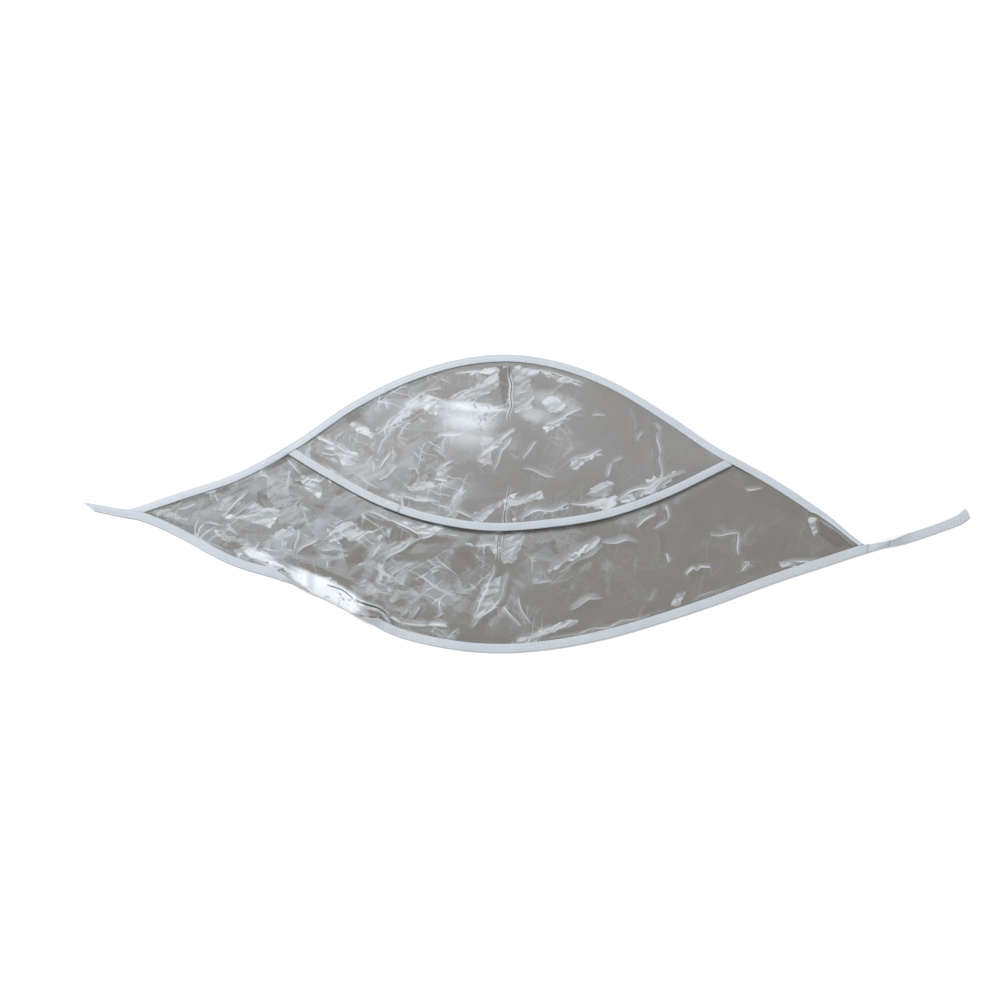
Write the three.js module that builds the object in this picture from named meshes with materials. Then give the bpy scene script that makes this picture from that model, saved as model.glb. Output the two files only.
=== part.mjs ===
// Clear rain bonnet, laid flat: a wide leaf-shaped sheet of clear film with a shorter film flap over its
// upper middle. The flap and the sheet are sewn together along the top edge, so that the head goes in
// between them under the flap's free edge. Folded fabric tape binds every edge, and the tape of the lower
// edge runs on past both corners as the two chin ties.
// Millimetres. X runs from corner to corner, Y from the lower edge to the top edge, Z up from the table.
import * as THREE from 'three';

// Outline of the laid bonnet
const SPAN = 575; // from corner to corner
const TOP_DEPTH = 155.4; // from the line through the corners up to the top edge
const BOTTOM_DEPTH = 102.5; // from the line through the corners down to the lower edge
const FLAP_DEPTH = 159.2; // from the top edge down to the flap's free edge

// Chin ties, each measured along its lower edge from the corner
const LEFT_TIE = 38.5;
const LEFT_TIE_RISE = 6.5;
const LEFT_TIE_CUT = 9.8; // how far the slanting cut carries the tip past the lower edge
const RIGHT_TIE = 86;
const RIGHT_TIE_RISE = 35.6;
const RIGHT_TIE_CUT = -3.8; // the upper edge ends short of the lower edge

// Materials of the sheet and the tape
const FILM = 1; // wall of the sheet and of the flap
const TAPE = 1; // wall of the folded tape
const TAPE_WIDTH = 7; // width of the tape after folding
const TAPE_ROUNDING = 0.5; // bevel along the fold
const GAP = 0.3; // clearance between neighbouring layers
const END_GAP = 0.5; // clearance between a tape's cut end and the tape that it meets
const SEAM_INSET = 0.6; // from the bottom of the fold to the film's cut edge
const TIE_NOTCH = 0.9; // how deep the two layers of a tie stand apart

// Raised forms
const HEM_LIFT = 7.5; // rise of the flap's free edge at the middle of the mouth
const DOME_RISE = 9; // rise of the flap above a straight run from its free edge to the top edge
const JOINT_FLAT = 14; // strip beside a joint in which the flap, its hem and the top tape lie level
const JOINT_RAMP = 24; // length of tape over which the stack of layers thickens at a joint
const ROLL_REACH = 18; // from the tape's inner edge to where the rolled film is flat again
const FOLD_HEIGHT = 2.4; // tallest crease in the film
const FOLD_WIDTH = 15; // width of an ordinary crease
const FOLD_MARGIN = 16; // strip beside a binding or a joint that stays free of creases

// Steps of the faceted surfaces
const PANEL_STEPS = 56;
const FLAP_STEPS = 40;
const TIE_STEP = 5;
const PANEL_ROWS = 11;
const FLAP_ROWS = 9;

// Outer edge of the top binding. along: share of half the span, up: share of TOP_DEPTH.
const TOP_EDGE = [
  { along: -1.05, up: 0.018 },
  { along: -0.9, up: 0.136 },
  { along: -0.75, up: 0.257 },
  { along: -0.6, up: 0.44 },
  { along: -0.45, up: 0.673 },
  { along: -0.3, up: 0.847 },
  { along: -0.15, up: 0.958 },
  { along: 0, up: 1 },
  { along: 0.15, up: 0.965 },
  { along: 0.3, up: 0.863 },
  { along: 0.45, up: 0.699 },
  { along: 0.6, up: 0.512 },
  { along: 0.75, up: 0.363 },
  { along: 0.9, up: 0.177 },
  { along: 1, up: 0.025 },
  { along: 1.03, up: 0.01 },
];

// Outer edge of the lower binding. along: share of half the span, down: share of BOTTOM_DEPTH.
const LOWER_EDGE = [
  { along: -0.9, down: 0.167 },
  { along: -0.75, down: 0.374 },
  { along: -0.6, down: 0.497 },
  { along: -0.45, down: 0.655 },
  { along: -0.3, down: 0.877 },
  { along: -0.15, down: 0.976 },
  { along: 0, down: 1 },
  { along: 0.15, down: 0.95 },
  { along: 0.3, down: 0.846 },
  { along: 0.45, down: 0.696 },
  { along: 0.6, down: 0.525 },
  { along: 0.75, down: 0.337 },
  { along: 0.9, down: 0.167 },
];

// Height of the lower edge below the line through the corners, at each corner, as a share of BOTTOM_DEPTH.
const CORNER_DROP = 0.055;

// Lower edge of each tie. along: share of the tie's length, rise: share of its rise.
const LEFT_TIE_EDGE = [
  { along: 0, rise: 0 },
  { along: 0.5, rise: 0.49 },
  { along: 1, rise: 1 },
];
const RIGHT_TIE_EDGE = [
  { along: 0, rise: 0 },
  { along: 0.18, rise: 0.15 },
  { along: 0.36, rise: 0.265 },
  { along: 0.5, rise: 0.396 },
  { along: 0.77, rise: 0.671 },
  { along: 0.91, rise: 0.826 },
  { along: 1, rise: 1 },
];

// Outer edge of the flap's hem. along: share of half the span, up: share of FLAP_DEPTH.
const HEM_EDGE = [
  { along: -0.7, up: 0.472 },
  { along: -0.6, up: 0.365 },
  { along: -0.5, up: 0.26 },
  { along: -0.35, up: 0.121 },
  { along: -0.2, up: 0.035 },
  { along: -0.03, up: 0 },
  { along: 0.15, up: 0.039 },
  { along: 0.3, up: 0.108 },
  { along: 0.45, up: 0.228 },
  { along: 0.6, up: 0.386 },
  { along: 0.7, up: 0.494 },
];

// Width of the top tape. along: share of half the span, width: share of TAPE_WIDTH.
const TOP_TAPE = [
  { along: -1, width: 1 },
  { along: 0.88, width: 1 },
  { along: 0.97, width: 0.62 },
  { along: 1.03, width: 0.5 },
];

// Lower tape where it is turned up on its outer edge. along: share of half the span, roll: degrees.
const LOWER_ROLL = [
  { along: -0.76, roll: 0 },
  { along: -0.63, roll: 22 },
  { along: -0.5, roll: 40 },
  { along: -0.42, roll: 42 },
  { along: -0.32, roll: 24 },
  { along: -0.2, roll: 0 },
];

// Right tie: it is twisted just past the corner and opens out towards its end.
// along: share of the tie's length, width: share of TAPE_WIDTH, roll: degrees.
const RIGHT_TIE_TAPE = [
  { along: 0, width: 1, roll: 0 },
  { along: 0.18, width: 0.9, roll: 38 },
  { along: 0.4, width: 1.08, roll: 0 },
  { along: 0.7, width: 1.04, roll: 0 },
  { along: 1, width: 1.2, roll: 0 },
];

// Left tie. along: share of the tie's length, width: share of TAPE_WIDTH.
const LEFT_TIE_TAPE = [
  { along: 0, width: 1 },
  { along: 0.4, width: 0.92 },
  { along: 1, width: 0.82 },
];

// Creases of the sheet. u: share of half the span, v: share of the way from the lower to the top edge,
// height: share of FOLD_HEIGHT, width: share of FOLD_WIDTH.
const SHEET_FOLDS = [
  { from: [-0.82, 0.42], to: [-0.74, 0.72], height: 0.7, width: 0.8 },
  { from: [-0.72, 0.36], to: [-0.6, 0.5], height: 0.6, width: 0.8 },
  { from: [-0.7, 0.3], to: [-0.55, 0.24], height: 1, width: 1 },
  { from: [-0.6, 0.75], to: [-0.56, 0.42], height: 0.6, width: 0.8 },
  { from: [-0.57, 0.3], to: [-0.5, 0.42], height: 0.8, width: 0.8 },
  { from: [-0.42, 0.5], to: [-0.32, 0.42], height: 0.5, width: 0.8 },
  { from: [-0.36, 0.28], to: [-0.24, 0.36], height: 0.7, width: 0.8 },
  { from: [-0.01, 0.32], to: [-0.03, 0.14], height: 1, width: 0.9 },
  { from: [0.13, 0.26], to: [0.32, 0.4], height: 0.8, width: 0.9 },
  { from: [0.2, 0.12], to: [0.3, 0.16], height: 0.5, width: 0.8 },
  { from: [0.39, 0.2], to: [0.53, 0.3], height: 0.6, width: 0.9 },
  { from: [0.5, 0.44], to: [0.49, 0.32], height: 0.5, width: 1 },
  { from: [0.7, 0.5], to: [0.76, 0.3], height: 0.5, width: 1 },
];

// Creases of the flap. u: share of the way from the left to the right joint, v: share of the way from the
// hem to the top edge, height and width as above.
const FLAP_FOLDS = [
  { from: [0.48, 0.95], to: [0.485, 0.55], height: 0.9, width: 0.9 },
  { from: [0.27, 0.7], to: [0.47, 0.62], height: 1, width: 1.6 },
  { from: [0.57, 0.5], to: [0.645, 0.75], height: 0.7, width: 0.9 },
  { from: [0.63, 0.36], to: [0.7, 0.55], height: 0.6, width: 0.9 },
  { from: [0.8, 0.8], to: [0.82, 0.3], height: 0.6, width: 0.9 },
  { from: [0.3, 0.3], to: [0.42, 0.2], height: 0.6, width: 1 },
];

const HALF = SPAN / 2;
const LAYER = FILM + GAP; // one film and its clearance
const SHEET_Z = TAPE + GAP + FILM / 2; // middle of the sheet inside its bindings
const SINGLE_STACK = 2 * TAPE + FILM + 2 * GAP; // folded tape with one film in it
const TIE_STACK = 2 * TAPE + GAP; // folded tape sewn shut
const FLAP_TOP_Z = SHEET_Z + LAYER; // middle of the flap inside the top binding
const HEM_END_Z = SHEET_Z + FILM / 2 + GAP + SINGLE_STACK / 2; // middle of the hem where it meets the top binding
const SEAM = TAPE + SEAM_INSET; // from a binding's outer edge to the film's cut edge
const MOUTH = TAPE_WIDTH + TAPE; // from a binding's outer edge to where the film is free to bend
const HEM_LOWEST = TOP_DEPTH - FLAP_DEPTH;

const mix = (a, b, t) => a + (b - a) * t;
const clamp01 = (t) => Math.min(1, Math.max(0, t));
const smooth = (t) => clamp01(t) ** 2 * (3 - 2 * clamp01(t));

// Value at x on the smooth curve through the points [x, y], straight beyond the first and the last one.
function curveThrough(points) {
  const slopes = points.map((point, i) => {
    const before = points[Math.max(i - 1, 0)];
    const after = points[Math.min(i + 1, points.length - 1)];
    return (after[1] - before[1]) / (after[0] - before[0]);
  });
  return (x) => {
    const last = points.length - 1;
    if (x <= points[0][0]) return points[0][1] + (x - points[0][0]) * slopes[0];
    if (x >= points[last][0]) return points[last][1] + (x - points[last][0]) * slopes[last];
    const i = points.findIndex((point) => point[0] > x) - 1;
    const run = points[i + 1][0] - points[i][0];
    const t = (x - points[i][0]) / run;
    const rise = t * t * (3 - 2 * t);
    return mix(points[i][1], points[i + 1][1], rise)
      + t * (1 - t) ** 2 * run * slopes[i]
      - t * t * (1 - t) * run * slopes[i + 1];
  };
}

// Straight steps through one column of a table, level beyond its ends.
function columnOf(rows, key) {
  return (along) => {
    if (along <= rows[0].along) return rows[0][key];
    const i = rows.findIndex((row) => row.along > along);
    if (i < 0) return rows[rows.length - 1][key];
    const t = (along - rows[i - 1].along) / (rows[i].along - rows[i - 1].along);
    return mix(rows[i - 1][key], rows[i][key], smooth(t));
  };
}

// An edge in plan: its y at x, and how much longer a width across the tape is when measured along Y.
function planEdge(points) {
  const y = curveThrough(points);
  const stretch = (x) => Math.hypot(1, (y(x + 1) - y(x - 1)) / 2);
  return { y, stretch };
}

const topEdge = planEdge(TOP_EDGE.map((row) => [row.along * HALF, row.up * TOP_DEPTH]));
const hemEdge = planEdge(HEM_EDGE.map((row) => [row.along * HALF, HEM_LOWEST + row.up * FLAP_DEPTH]));

const cornerY = -CORNER_DROP * BOTTOM_DEPTH;
const leftTiePoint = (row) => [-HALF - row.along * LEFT_TIE, cornerY + row.rise * LEFT_TIE_RISE];
const rightTiePoint = (row) => [HALF + row.along * RIGHT_TIE, cornerY + row.rise * RIGHT_TIE_RISE];
const lowerEdge = planEdge([
  ...LEFT_TIE_EDGE.map(leftTiePoint).reverse(),
  ...LOWER_EDGE.map((row) => [row.along * HALF, -row.down * BOTTOM_DEPTH]),
  ...RIGHT_TIE_EDGE.map(rightTiePoint),
]);

// Tape width and roll along the lower edge and both ties.
const topWidthAt = columnOf(TOP_TAPE, 'width');
const topWidth = (x) => TAPE_WIDTH * topWidthAt(x / HALF);
const leftWidthAt = columnOf(LEFT_TIE_TAPE, 'width');
const rightWidthAt = columnOf(RIGHT_TIE_TAPE, 'width');
const lowerRollAt = columnOf(LOWER_ROLL, 'roll');
const rightRollAt = columnOf(RIGHT_TIE_TAPE, 'roll');

function lowerWidth(x) {
  if (x < -HALF) return TAPE_WIDTH * leftWidthAt((-HALF - x) / LEFT_TIE);
  return TAPE_WIDTH * rightWidthAt((x - HALF) / RIGHT_TIE);
}

function lowerRoll(x) {
  const degrees = x < HALF ? lowerRollAt(x / HALF) : rightRollAt((x - HALF) / RIGHT_TIE);
  return THREE.MathUtils.degToRad(degrees);
}

// The x at which a difference changes sign between a and b.
function crossing(difference, a, b) {
  let low = a;
  let high = b;
  const sign = Math.sign(difference(low));
  for (let i = 0; i < 50; i += 1) {
    const middle = (low + high) / 2;
    if (Math.sign(difference(middle)) === sign) low = middle;
    else high = middle;
  }
  return (low + high) / 2;
}

// Inner edge of the top binding and of the lower binding, each with the clearance that a cut end keeps.
const underTop = (x) => topEdge.y(x) - (topWidth(x) + END_GAP) * topEdge.stretch(x);
const aboveLower = (x) => lowerEdge.y(x) + (lowerWidth(x) + END_GAP) * lowerEdge.stretch(x);

// Where the hem's line at a given distance from its outer edge meets the top binding, left and right.
const hemLine = (x, inward) => hemEdge.y(x) + inward * hemEdge.stretch(x);
const hemEnd = (side, inward) => crossing((x) => underTop(x) - hemLine(x, inward), 0, side * HALF);

// Where the top binding's line at a given distance from its outer edge meets the tie's tape.
const topLine = (x, inward) => topEdge.y(x) - inward * topEdge.stretch(x);
const topEnd = (side, inward) => crossing((x) => topLine(x, inward) - aboveLower(x), 0, side * HALF * 1.2);

// Where the film between two edges runs out, with a blunt end of one tape width.
const flapHeight = (x) => topLine(x, SEAM) - hemLine(x, SEAM);
const flapEnd = (side) => crossing((x) => flapHeight(x) - 2 * FILM, 0, side * HALF);
const sheetHeight = (x) => topLine(x, SEAM) - (lowerEdge.y(x) + SEAM * lowerEdge.stretch(x));
const sheetEnd = (side) => crossing((x) => sheetHeight(x) - TAPE_WIDTH, 0, side * HALF * 1.2);

const flapLeft = flapEnd(-1);
const flapRight = flapEnd(1);
const sheetLeft = sheetEnd(-1);
const sheetRight = sheetEnd(1);
const flapMiddle = (flapLeft + flapRight) / 2;
const flapHalf = (flapRight - flapLeft) / 2;

// Share of a raised form's full height at x: 1 halfway between the joints, 0 in the level strip beside each.
function archShare(x) {
  const across = Math.min(1, Math.abs(x - flapMiddle) / (flapHalf - JOINT_FLAT));
  return (1 - across * across) ** 2;
}

// Middle of the hem above the table.
const hemZ = (x) => HEM_END_Z + HEM_LIFT * archShare(x);

// Middle of the flap's film inside the top binding: it drops onto the sheet away from the joints.
function flapTopZ(x) {
  const inside = Math.min(x - flapLeft, flapRight - x) - JOINT_FLAT;
  return mix(HEM_END_Z, FLAP_TOP_Z, smooth(inside / JOINT_RAMP));
}

// Height of the top binding: one film outside the joints, two films between them.
function topStack(x) {
  const outside = Math.max(flapLeft - x, x - flapRight);
  if (outside < 0) return flapTopZ(x) + FILM / 2 + GAP + TAPE;
  const jointStack = HEM_END_Z + FILM / 2 + GAP + TAPE;
  return mix(jointStack, SINGLE_STACK, smooth(outside / JOINT_RAMP));
}

// Height of the lower binding: open round the sheet, sewn shut along the ties.
function lowerStack(x) {
  const past = Math.max(sheetLeft - x, x - sheetRight);
  return mix(SINGLE_STACK, TIE_STACK, smooth(past / TAPE_WIDTH / 2));
}

function lowerSlot(x) {
  const past = Math.max(sheetLeft - x, x - sheetRight);
  return mix(TAPE, lowerWidth(x) - TIE_NOTCH, smooth(past / TAPE_WIDTH / 2));
}

// Folded tape in section, as [distance inward from the outer edge, height] pairs.
function foldedTape(width, stack, slot) {
  return [
    [TAPE_ROUNDING, 0],
    [width, 0],
    [width, TAPE],
    [slot, TAPE],
    [slot, stack - TAPE],
    [width, stack - TAPE],
    [width, stack],
    [TAPE_ROUNDING, stack],
    [0, stack - TAPE_ROUNDING],
    [0, TAPE_ROUNDING],
  ];
}

// A point of a section turned up about its outer lower corner, and kept inside the outline.
function rolled([inward, height], roll, stack) {
  return [
    inward * Math.cos(roll) + (stack - height) * Math.sin(roll),
    inward * Math.sin(roll) + height * Math.cos(roll),
  ];
}

// Closed geometry from vertices and triangles, turned so that its faces point out.
function solidFrom(vertices, triangles) {
  let volume = 0;
  const [a, b, c] = [new THREE.Vector3(), new THREE.Vector3(), new THREE.Vector3()];
  for (const [i, j, k] of triangles) {
    a.set(...vertices[i]);
    b.set(...vertices[j]);
    c.set(...vertices[k]);
    volume += a.dot(b.cross(c));
  }
  const outward = volume > 0 ? triangles : triangles.map(([i, j, k]) => [i, k, j]);
  const geometry = new THREE.BufferGeometry();
  geometry.setAttribute('position', new THREE.Float32BufferAttribute(vertices.flat(), 3));
  geometry.setIndex(outward.flat());
  geometry.computeVertexNormals();
  return geometry;
}

// A bar through rings of equally many points, closed by a flat cap at each end. Each face is split along the
// diagonal that runs inward with x, as the film's faces are, so that twisted layers stay parallel.
function barThrough(rings, profile) {
  const count = profile.length;
  const triangles = [];
  for (let i = 0; i + 1 < rings.length; i += 1) {
    for (let j = 0; j < count; j += 1) {
      const next = (j + 1) % count;
      const [p, q] = [i * count + j, i * count + next];
      if (profile[next][0] >= profile[j][0]) triangles.push([p, q, q + count], [p, q + count, p + count]);
      else triangles.push([p, q, p + count], [q, q + count, p + count]);
    }
  }
  const cap = THREE.ShapeUtils.triangulateShape(profile.map(([n, z]) => new THREE.Vector2(n, z)), []);
  const end = (rings.length - 1) * count;
  for (const [i, j, k] of cap) {
    triangles.push([i, k, j], [end + i, end + j, end + k]);
  }
  return solidFrom(rings.flat(), triangles);
}

// A wall of even thickness about a grid of middle points.
function wallAbout(grid, thickness) {
  const columns = grid.length;
  const rows = grid[0].length;
  const at = (i, j) => new THREE.Vector3(...grid[Math.min(Math.max(i, 0), columns - 1)][
    Math.min(Math.max(j, 0), rows - 1)]);
  const faces = [[], []];
  for (let i = 0; i < columns; i += 1) {
    for (let j = 0; j < rows; j += 1) {
      const along = at(i + 1, j).sub(at(i - 1, j));
      const across = at(i, j + 1).sub(at(i, j - 1));
      const normal = along.cross(across).normalize().multiplyScalar(thickness / 2);
      faces[0].push(at(i, j).add(normal).toArray());
      faces[1].push(at(i, j).sub(normal).toArray());
    }
  }
  const under = columns * rows;
  const triangles = [];
  const index = (i, j) => i * rows + j;
  for (let i = 0; i + 1 < columns; i += 1) {
    for (let j = 0; j + 1 < rows; j += 1) {
      const [p, q, r, s] = [index(i, j), index(i + 1, j), index(i + 1, j + 1), index(i, j + 1)];
      triangles.push([p, q, r], [p, r, s]);
      triangles.push([under + p, under + r, under + q], [under + p, under + s, under + r]);
    }
  }
  const rim = [];
  for (let i = 0; i + 1 < columns; i += 1) rim.push(index(i, 0));
  for (let j = 0; j + 1 < rows; j += 1) rim.push(index(columns - 1, j));
  for (let i = columns - 1; i > 0; i -= 1) rim.push(index(i, rows - 1));
  for (let j = rows - 1; j > 0; j -= 1) rim.push(index(0, j));
  rim.forEach((p, n) => {
    const q = rim[(n + 1) % rim.length];
    triangles.push([p, under + p, under + q], [p, under + q, q]);
  });
  return solidFrom(faces.flat(), triangles);
}

// Even stations from a to b, both included.
const stations = (a, b, steps) => Array.from({ length: steps + 1 }, (_, i) => mix(a, b, i / steps));
const sheetStations = stations(sheetLeft, sheetRight, PANEL_STEPS);
const flapStations = stations(flapLeft, flapRight, FLAP_STEPS);

// Height that the creases of a table add at a point of a panel. place turns [u, v] into plan millimetres.
function creaseHeight(folds, place, x, y) {
  let height = 0;
  for (const fold of folds) {
    const [ax, ay] = place(...fold.from);
    const [bx, by] = place(...fold.to);
    const length = (bx - ax) ** 2 + (by - ay) ** 2;
    const t = clamp01(((x - ax) * (bx - ax) + (y - ay) * (by - ay)) / length);
    const distance = Math.hypot(x - mix(ax, bx, t), y - mix(ay, by, t));
    const crest = smooth(1 - distance / (fold.width * FOLD_WIDTH));
    height += fold.height * FOLD_HEIGHT * crest;
  }
  return height;
}

const sheetPlace = (u, v) => [u * HALF, mix(lowerEdge.y(u * HALF), topEdge.y(u * HALF), v)];

function flapPlace(u, v) {
  const x = mix(flapLeft, flapRight, u);
  return [x, mix(hemEdge.y(x), topEdge.y(x), v)];
}

// Creases die out beside the joints, where the layers lie close together.
function clearOfJoints(x, y) {
  const left = Math.hypot(x - flapLeft, y - topEdge.y(flapLeft));
  const right = Math.hypot(x - flapRight, y - topEdge.y(flapRight));
  return smooth(Math.min(left, right) / FOLD_MARGIN / 2 - 1);
}

// One column of the sheet's middle surface, from the lower binding to the top binding. The film leaves the
// lower tape in the direction in which the tape is turned, and rolls over in a smooth arch onto the table.
function sheetColumn(x) {
  const low = lowerEdge.y(x);
  const lowStretch = lowerEdge.stretch(x);
  const squeeze = Math.min(1, sheetHeight(x) / (3 * MOUTH + ROLL_REACH) / lowStretch);
  const roll = lowerRoll(x);
  const mouth = mix(SEAM, MOUTH, squeeze);
  const reach = ROLL_REACH * squeeze;
  const from = rolled([mouth, SHEET_Z], roll, SINGLE_STACK);
  const to = [mouth + reach, SHEET_Z];
  const arch = new THREE.CubicBezierCurve(
    new THREE.Vector2(...from),
    new THREE.Vector2(from[0] + 0.4 * reach * Math.cos(roll), from[1] + 0.4 * reach * Math.sin(roll)),
    new THREE.Vector2(to[0] - 0.4 * reach, to[1]),
    new THREE.Vector2(...to),
  );
  const lower = [rolled([SEAM, SHEET_Z], roll, SINGLE_STACK), ...arch.getPoints(4).map((p) => [p.x, p.y])];
  const column = lower.map(([inward, z]) => [x, low + inward * lowStretch, z]);
  const start = low + to[0] * lowStretch;
  const stop = topLine(x, mouth);
  for (let row = 1; row <= PANEL_ROWS; row += 1) {
    const t = row / PANEL_ROWS;
    const y = mix(start, stop, t);
    const margin = smooth((stop - y) / FOLD_MARGIN) * smooth((y - start) / FOLD_MARGIN);
    const crease = creaseHeight(SHEET_FOLDS, sheetPlace, x, y) * margin * clearOfJoints(x, y);
    column.push([x, y, SHEET_Z + crease]);
  }
  column.push([x, topLine(x, SEAM), SHEET_Z]);
  return column;
}

// One column of the flap's middle surface, from the hem to the top binding.
function flapColumn(x) {
  const squeeze = Math.min(1, flapHeight(x) / (3 * MOUTH) / hemEdge.stretch(x));
  const mouth = mix(SEAM, MOUTH, squeeze);
  const [lowZ, highZ] = [hemZ(x), flapTopZ(x)];
  const [start, stop] = [hemLine(x, mouth), topLine(x, mouth)];
  const column = [[x, hemLine(x, SEAM), lowZ]];
  for (let row = 0; row <= FLAP_ROWS; row += 1) {
    const t = row / FLAP_ROWS;
    const y = mix(start, stop, t);
    const dome = DOME_RISE * 4 * t * (1 - t) * archShare(x);
    const margin = smooth(Math.min(stop - y, y - start) / FOLD_MARGIN);
    const crease = creaseHeight(FLAP_FOLDS, flapPlace, x, y) * margin * clearOfJoints(x, y);
    column.push([x, y, mix(lowZ, highZ, smooth(t)) + dome + crease]);
  }
  column.push([x, topLine(x, SEAM), highZ]);
  return column;
}

// The stations of a bar whose lines end at different places: each line keeps the inner stations and takes
// its own ends.
function lineStations(inner, left, right) {
  return [left, ...inner, right];
}

// Tape folded over the top edge, from the left tie to the right tie.
function topBinding() {
  const inner = sheetStations.filter((x) => x > topEnd(-1, topWidth(-HALF)) + 2 && x < topEnd(1, 0) - 4);
  const profileAt = (x) => foldedTape(topWidth(x), topStack(x), TAPE);
  const ends = [-1, 1].map((side) => profileAt(side * HALF).map(([inward]) => topEnd(side, inward)));
  const count = inner.length + 2;
  const rings = Array.from({ length: count }, (_, i) => {
    const nominal = i === 0 ? -HALF : i === count - 1 ? HALF : inner[i - 1];
    return profileAt(nominal).map(([inward, z], j) => {
      const x = lineStations(inner, ends[0][j], ends[1][j])[i];
      return [x, topLine(x, inward), z];
    });
  });
  return barThrough(rings, profileAt(0));
}

// Tape folded over the flap's free edge, cut off along the top binding at both ends.
function hemBinding() {
  const profile = foldedTape(TAPE_WIDTH, SINGLE_STACK, TAPE);
  const ends = [-1, 1].map((side) => profile.map(([inward]) => hemEnd(side, inward)));
  const inner = flapStations.filter((x) => x > Math.max(...ends[0]) + 2 && x < Math.min(...ends[1]) - 2);
  const rings = Array.from({ length: inner.length + 2 }, (_, i) => profile.map(([inward, z], j) => {
    const x = lineStations(inner, ends[0][j], ends[1][j])[i];
    return [x, hemLine(x, inward), hemZ(x) - SINGLE_STACK / 2 + z];
  }));
  return barThrough(rings, profile);
}

// Tape folded over the lower edge, which runs on as the two ties.
function tieBinding() {
  const leftTip = -HALF - LEFT_TIE;
  const rightTip = HALF + RIGHT_TIE;
  const tieStations = (a, b) => stations(a, b, Math.ceil(Math.abs(b - a) / TIE_STEP));
  const line = [
    ...tieStations(leftTip, sheetLeft).slice(0, -1),
    ...sheetStations,
    ...tieStations(sheetRight, rightTip).slice(1),
  ];
  const rings = line.map((x, i) => {
    const [width, stack, roll] = [lowerWidth(x), lowerStack(x), lowerRoll(x)];
    const cut = i === 0 ? -LEFT_TIE_CUT : i === line.length - 1 ? RIGHT_TIE_CUT : 0;
    return foldedTape(width, stack, lowerSlot(x)).map((point) => {
      const [inward, z] = rolled(point, roll, stack);
      const ownX = x + cut * (point[0] / width);
      return [ownX, lowerEdge.y(ownX) + inward * lowerEdge.stretch(ownX), z];
    });
  });
  return barThrough(rings, foldedTape(TAPE_WIDTH, SINGLE_STACK, TAPE));
}

const film = () => new THREE.MeshStandardMaterial({
  color: 0x9a9896,
  roughness: 0.15,
  metalness: 0,
  transparent: true,
  opacity: 0.6,
  side: THREE.DoubleSide,
});
const fabric = () => new THREE.MeshStandardMaterial({ color: 0xd3dde6, roughness: 0.8, metalness: 0 });

function addPiece(group, name, geometry, material) {
  const mesh = new THREE.Mesh(geometry, material);
  mesh.name = name;
  group.add(mesh);
}

const bonnet = new THREE.Group();
addPiece(bonnet, 'back_panel', wallAbout(sheetStations.map(sheetColumn), FILM), film());
addPiece(bonnet, 'front_flap', wallAbout(flapStations.map(flapColumn), FILM), film());
addPiece(bonnet, 'top_binding', topBinding(), fabric());
addPiece(bonnet, 'flap_hem_binding', hemBinding(), fabric());
addPiece(bonnet, 'tie_binding', tieBinding(), fabric());

// The part's origin is the middle of its outline, on the table.
const box = new THREE.Box3().setFromObject(bonnet);
const middle = box.getCenter(new THREE.Vector3());
bonnet.position.set(-middle.x, -middle.y, -box.min.z);

export default bonnet;
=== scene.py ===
from math import cos, pi, radians, sin, tau

import bpy
import numpy as np
from bpy.props import FloatProperty, FloatVectorProperty, IntProperty, PointerProperty
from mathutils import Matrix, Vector


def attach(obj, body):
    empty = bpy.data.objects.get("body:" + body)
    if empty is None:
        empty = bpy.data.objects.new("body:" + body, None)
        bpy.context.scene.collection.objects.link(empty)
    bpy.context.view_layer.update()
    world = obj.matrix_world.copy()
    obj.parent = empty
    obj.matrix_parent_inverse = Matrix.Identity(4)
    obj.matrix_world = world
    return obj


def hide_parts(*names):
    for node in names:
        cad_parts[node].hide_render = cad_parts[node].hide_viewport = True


bl_info = {
    "name": "Rain Bonnet",
    "version": (1, 0, 0),
    "blender": (4, 5, 0),
    "location": "View3D > Sidebar > Rain Bonnet",
    "description": "Builds a clear rain bonnet laid flat, with its bindings, ties and stitches",
    "category": "Add Mesh",
}

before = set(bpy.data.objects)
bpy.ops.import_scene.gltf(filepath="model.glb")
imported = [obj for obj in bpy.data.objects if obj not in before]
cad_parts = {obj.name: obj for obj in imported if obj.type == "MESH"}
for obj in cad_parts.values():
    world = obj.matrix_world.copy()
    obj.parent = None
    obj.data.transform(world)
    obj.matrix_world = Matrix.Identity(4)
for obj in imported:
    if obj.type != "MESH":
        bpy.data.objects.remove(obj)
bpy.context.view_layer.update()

MM = 0.001
# The frame's origin is the middle of the bonnet's outline, seen from the midpoint between the corners.
ORIGIN = (18.85 * MM, 26.37 * MM)

# Edges of the laid bonnet: x, y in mm
HALF_SPAN = 287.5 * MM
TOP_EDGE = [
    (-301.9, 2.8), (-258.8, 21.1), (-215.6, 39.9), (-172.5, 68.4), (-129.4, 104.6), (-86.3, 131.6),
    (-43.1, 148.9), (0, 155.4), (43.1, 150.0), (86.3, 134.1), (129.4, 108.6), (172.5, 79.6), (215.6, 56.4),
    (258.8, 27.5), (287.5, 3.9), (296.1, 1.6),
]
LOWER_EDGE = [
    (-326.0, 0.9), (-306.8, -2.5), (-287.5, -5.6), (-258.8, -17.1), (-215.6, -38.3), (-172.5, -50.9),
    (-129.4, -67.1), (-86.3, -89.9), (-43.1, -100.0), (0, -102.5), (43.1, -97.4), (86.3, -86.7),
    (129.4, -71.3), (172.5, -53.8), (215.6, -34.5), (258.8, -17.1), (287.5, -5.6), (303.0, -0.3),
    (318.5, 3.8), (330.5, 8.5), (353.7, 18.2), (365.8, 23.8), (373.5, 30.0),
]
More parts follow.
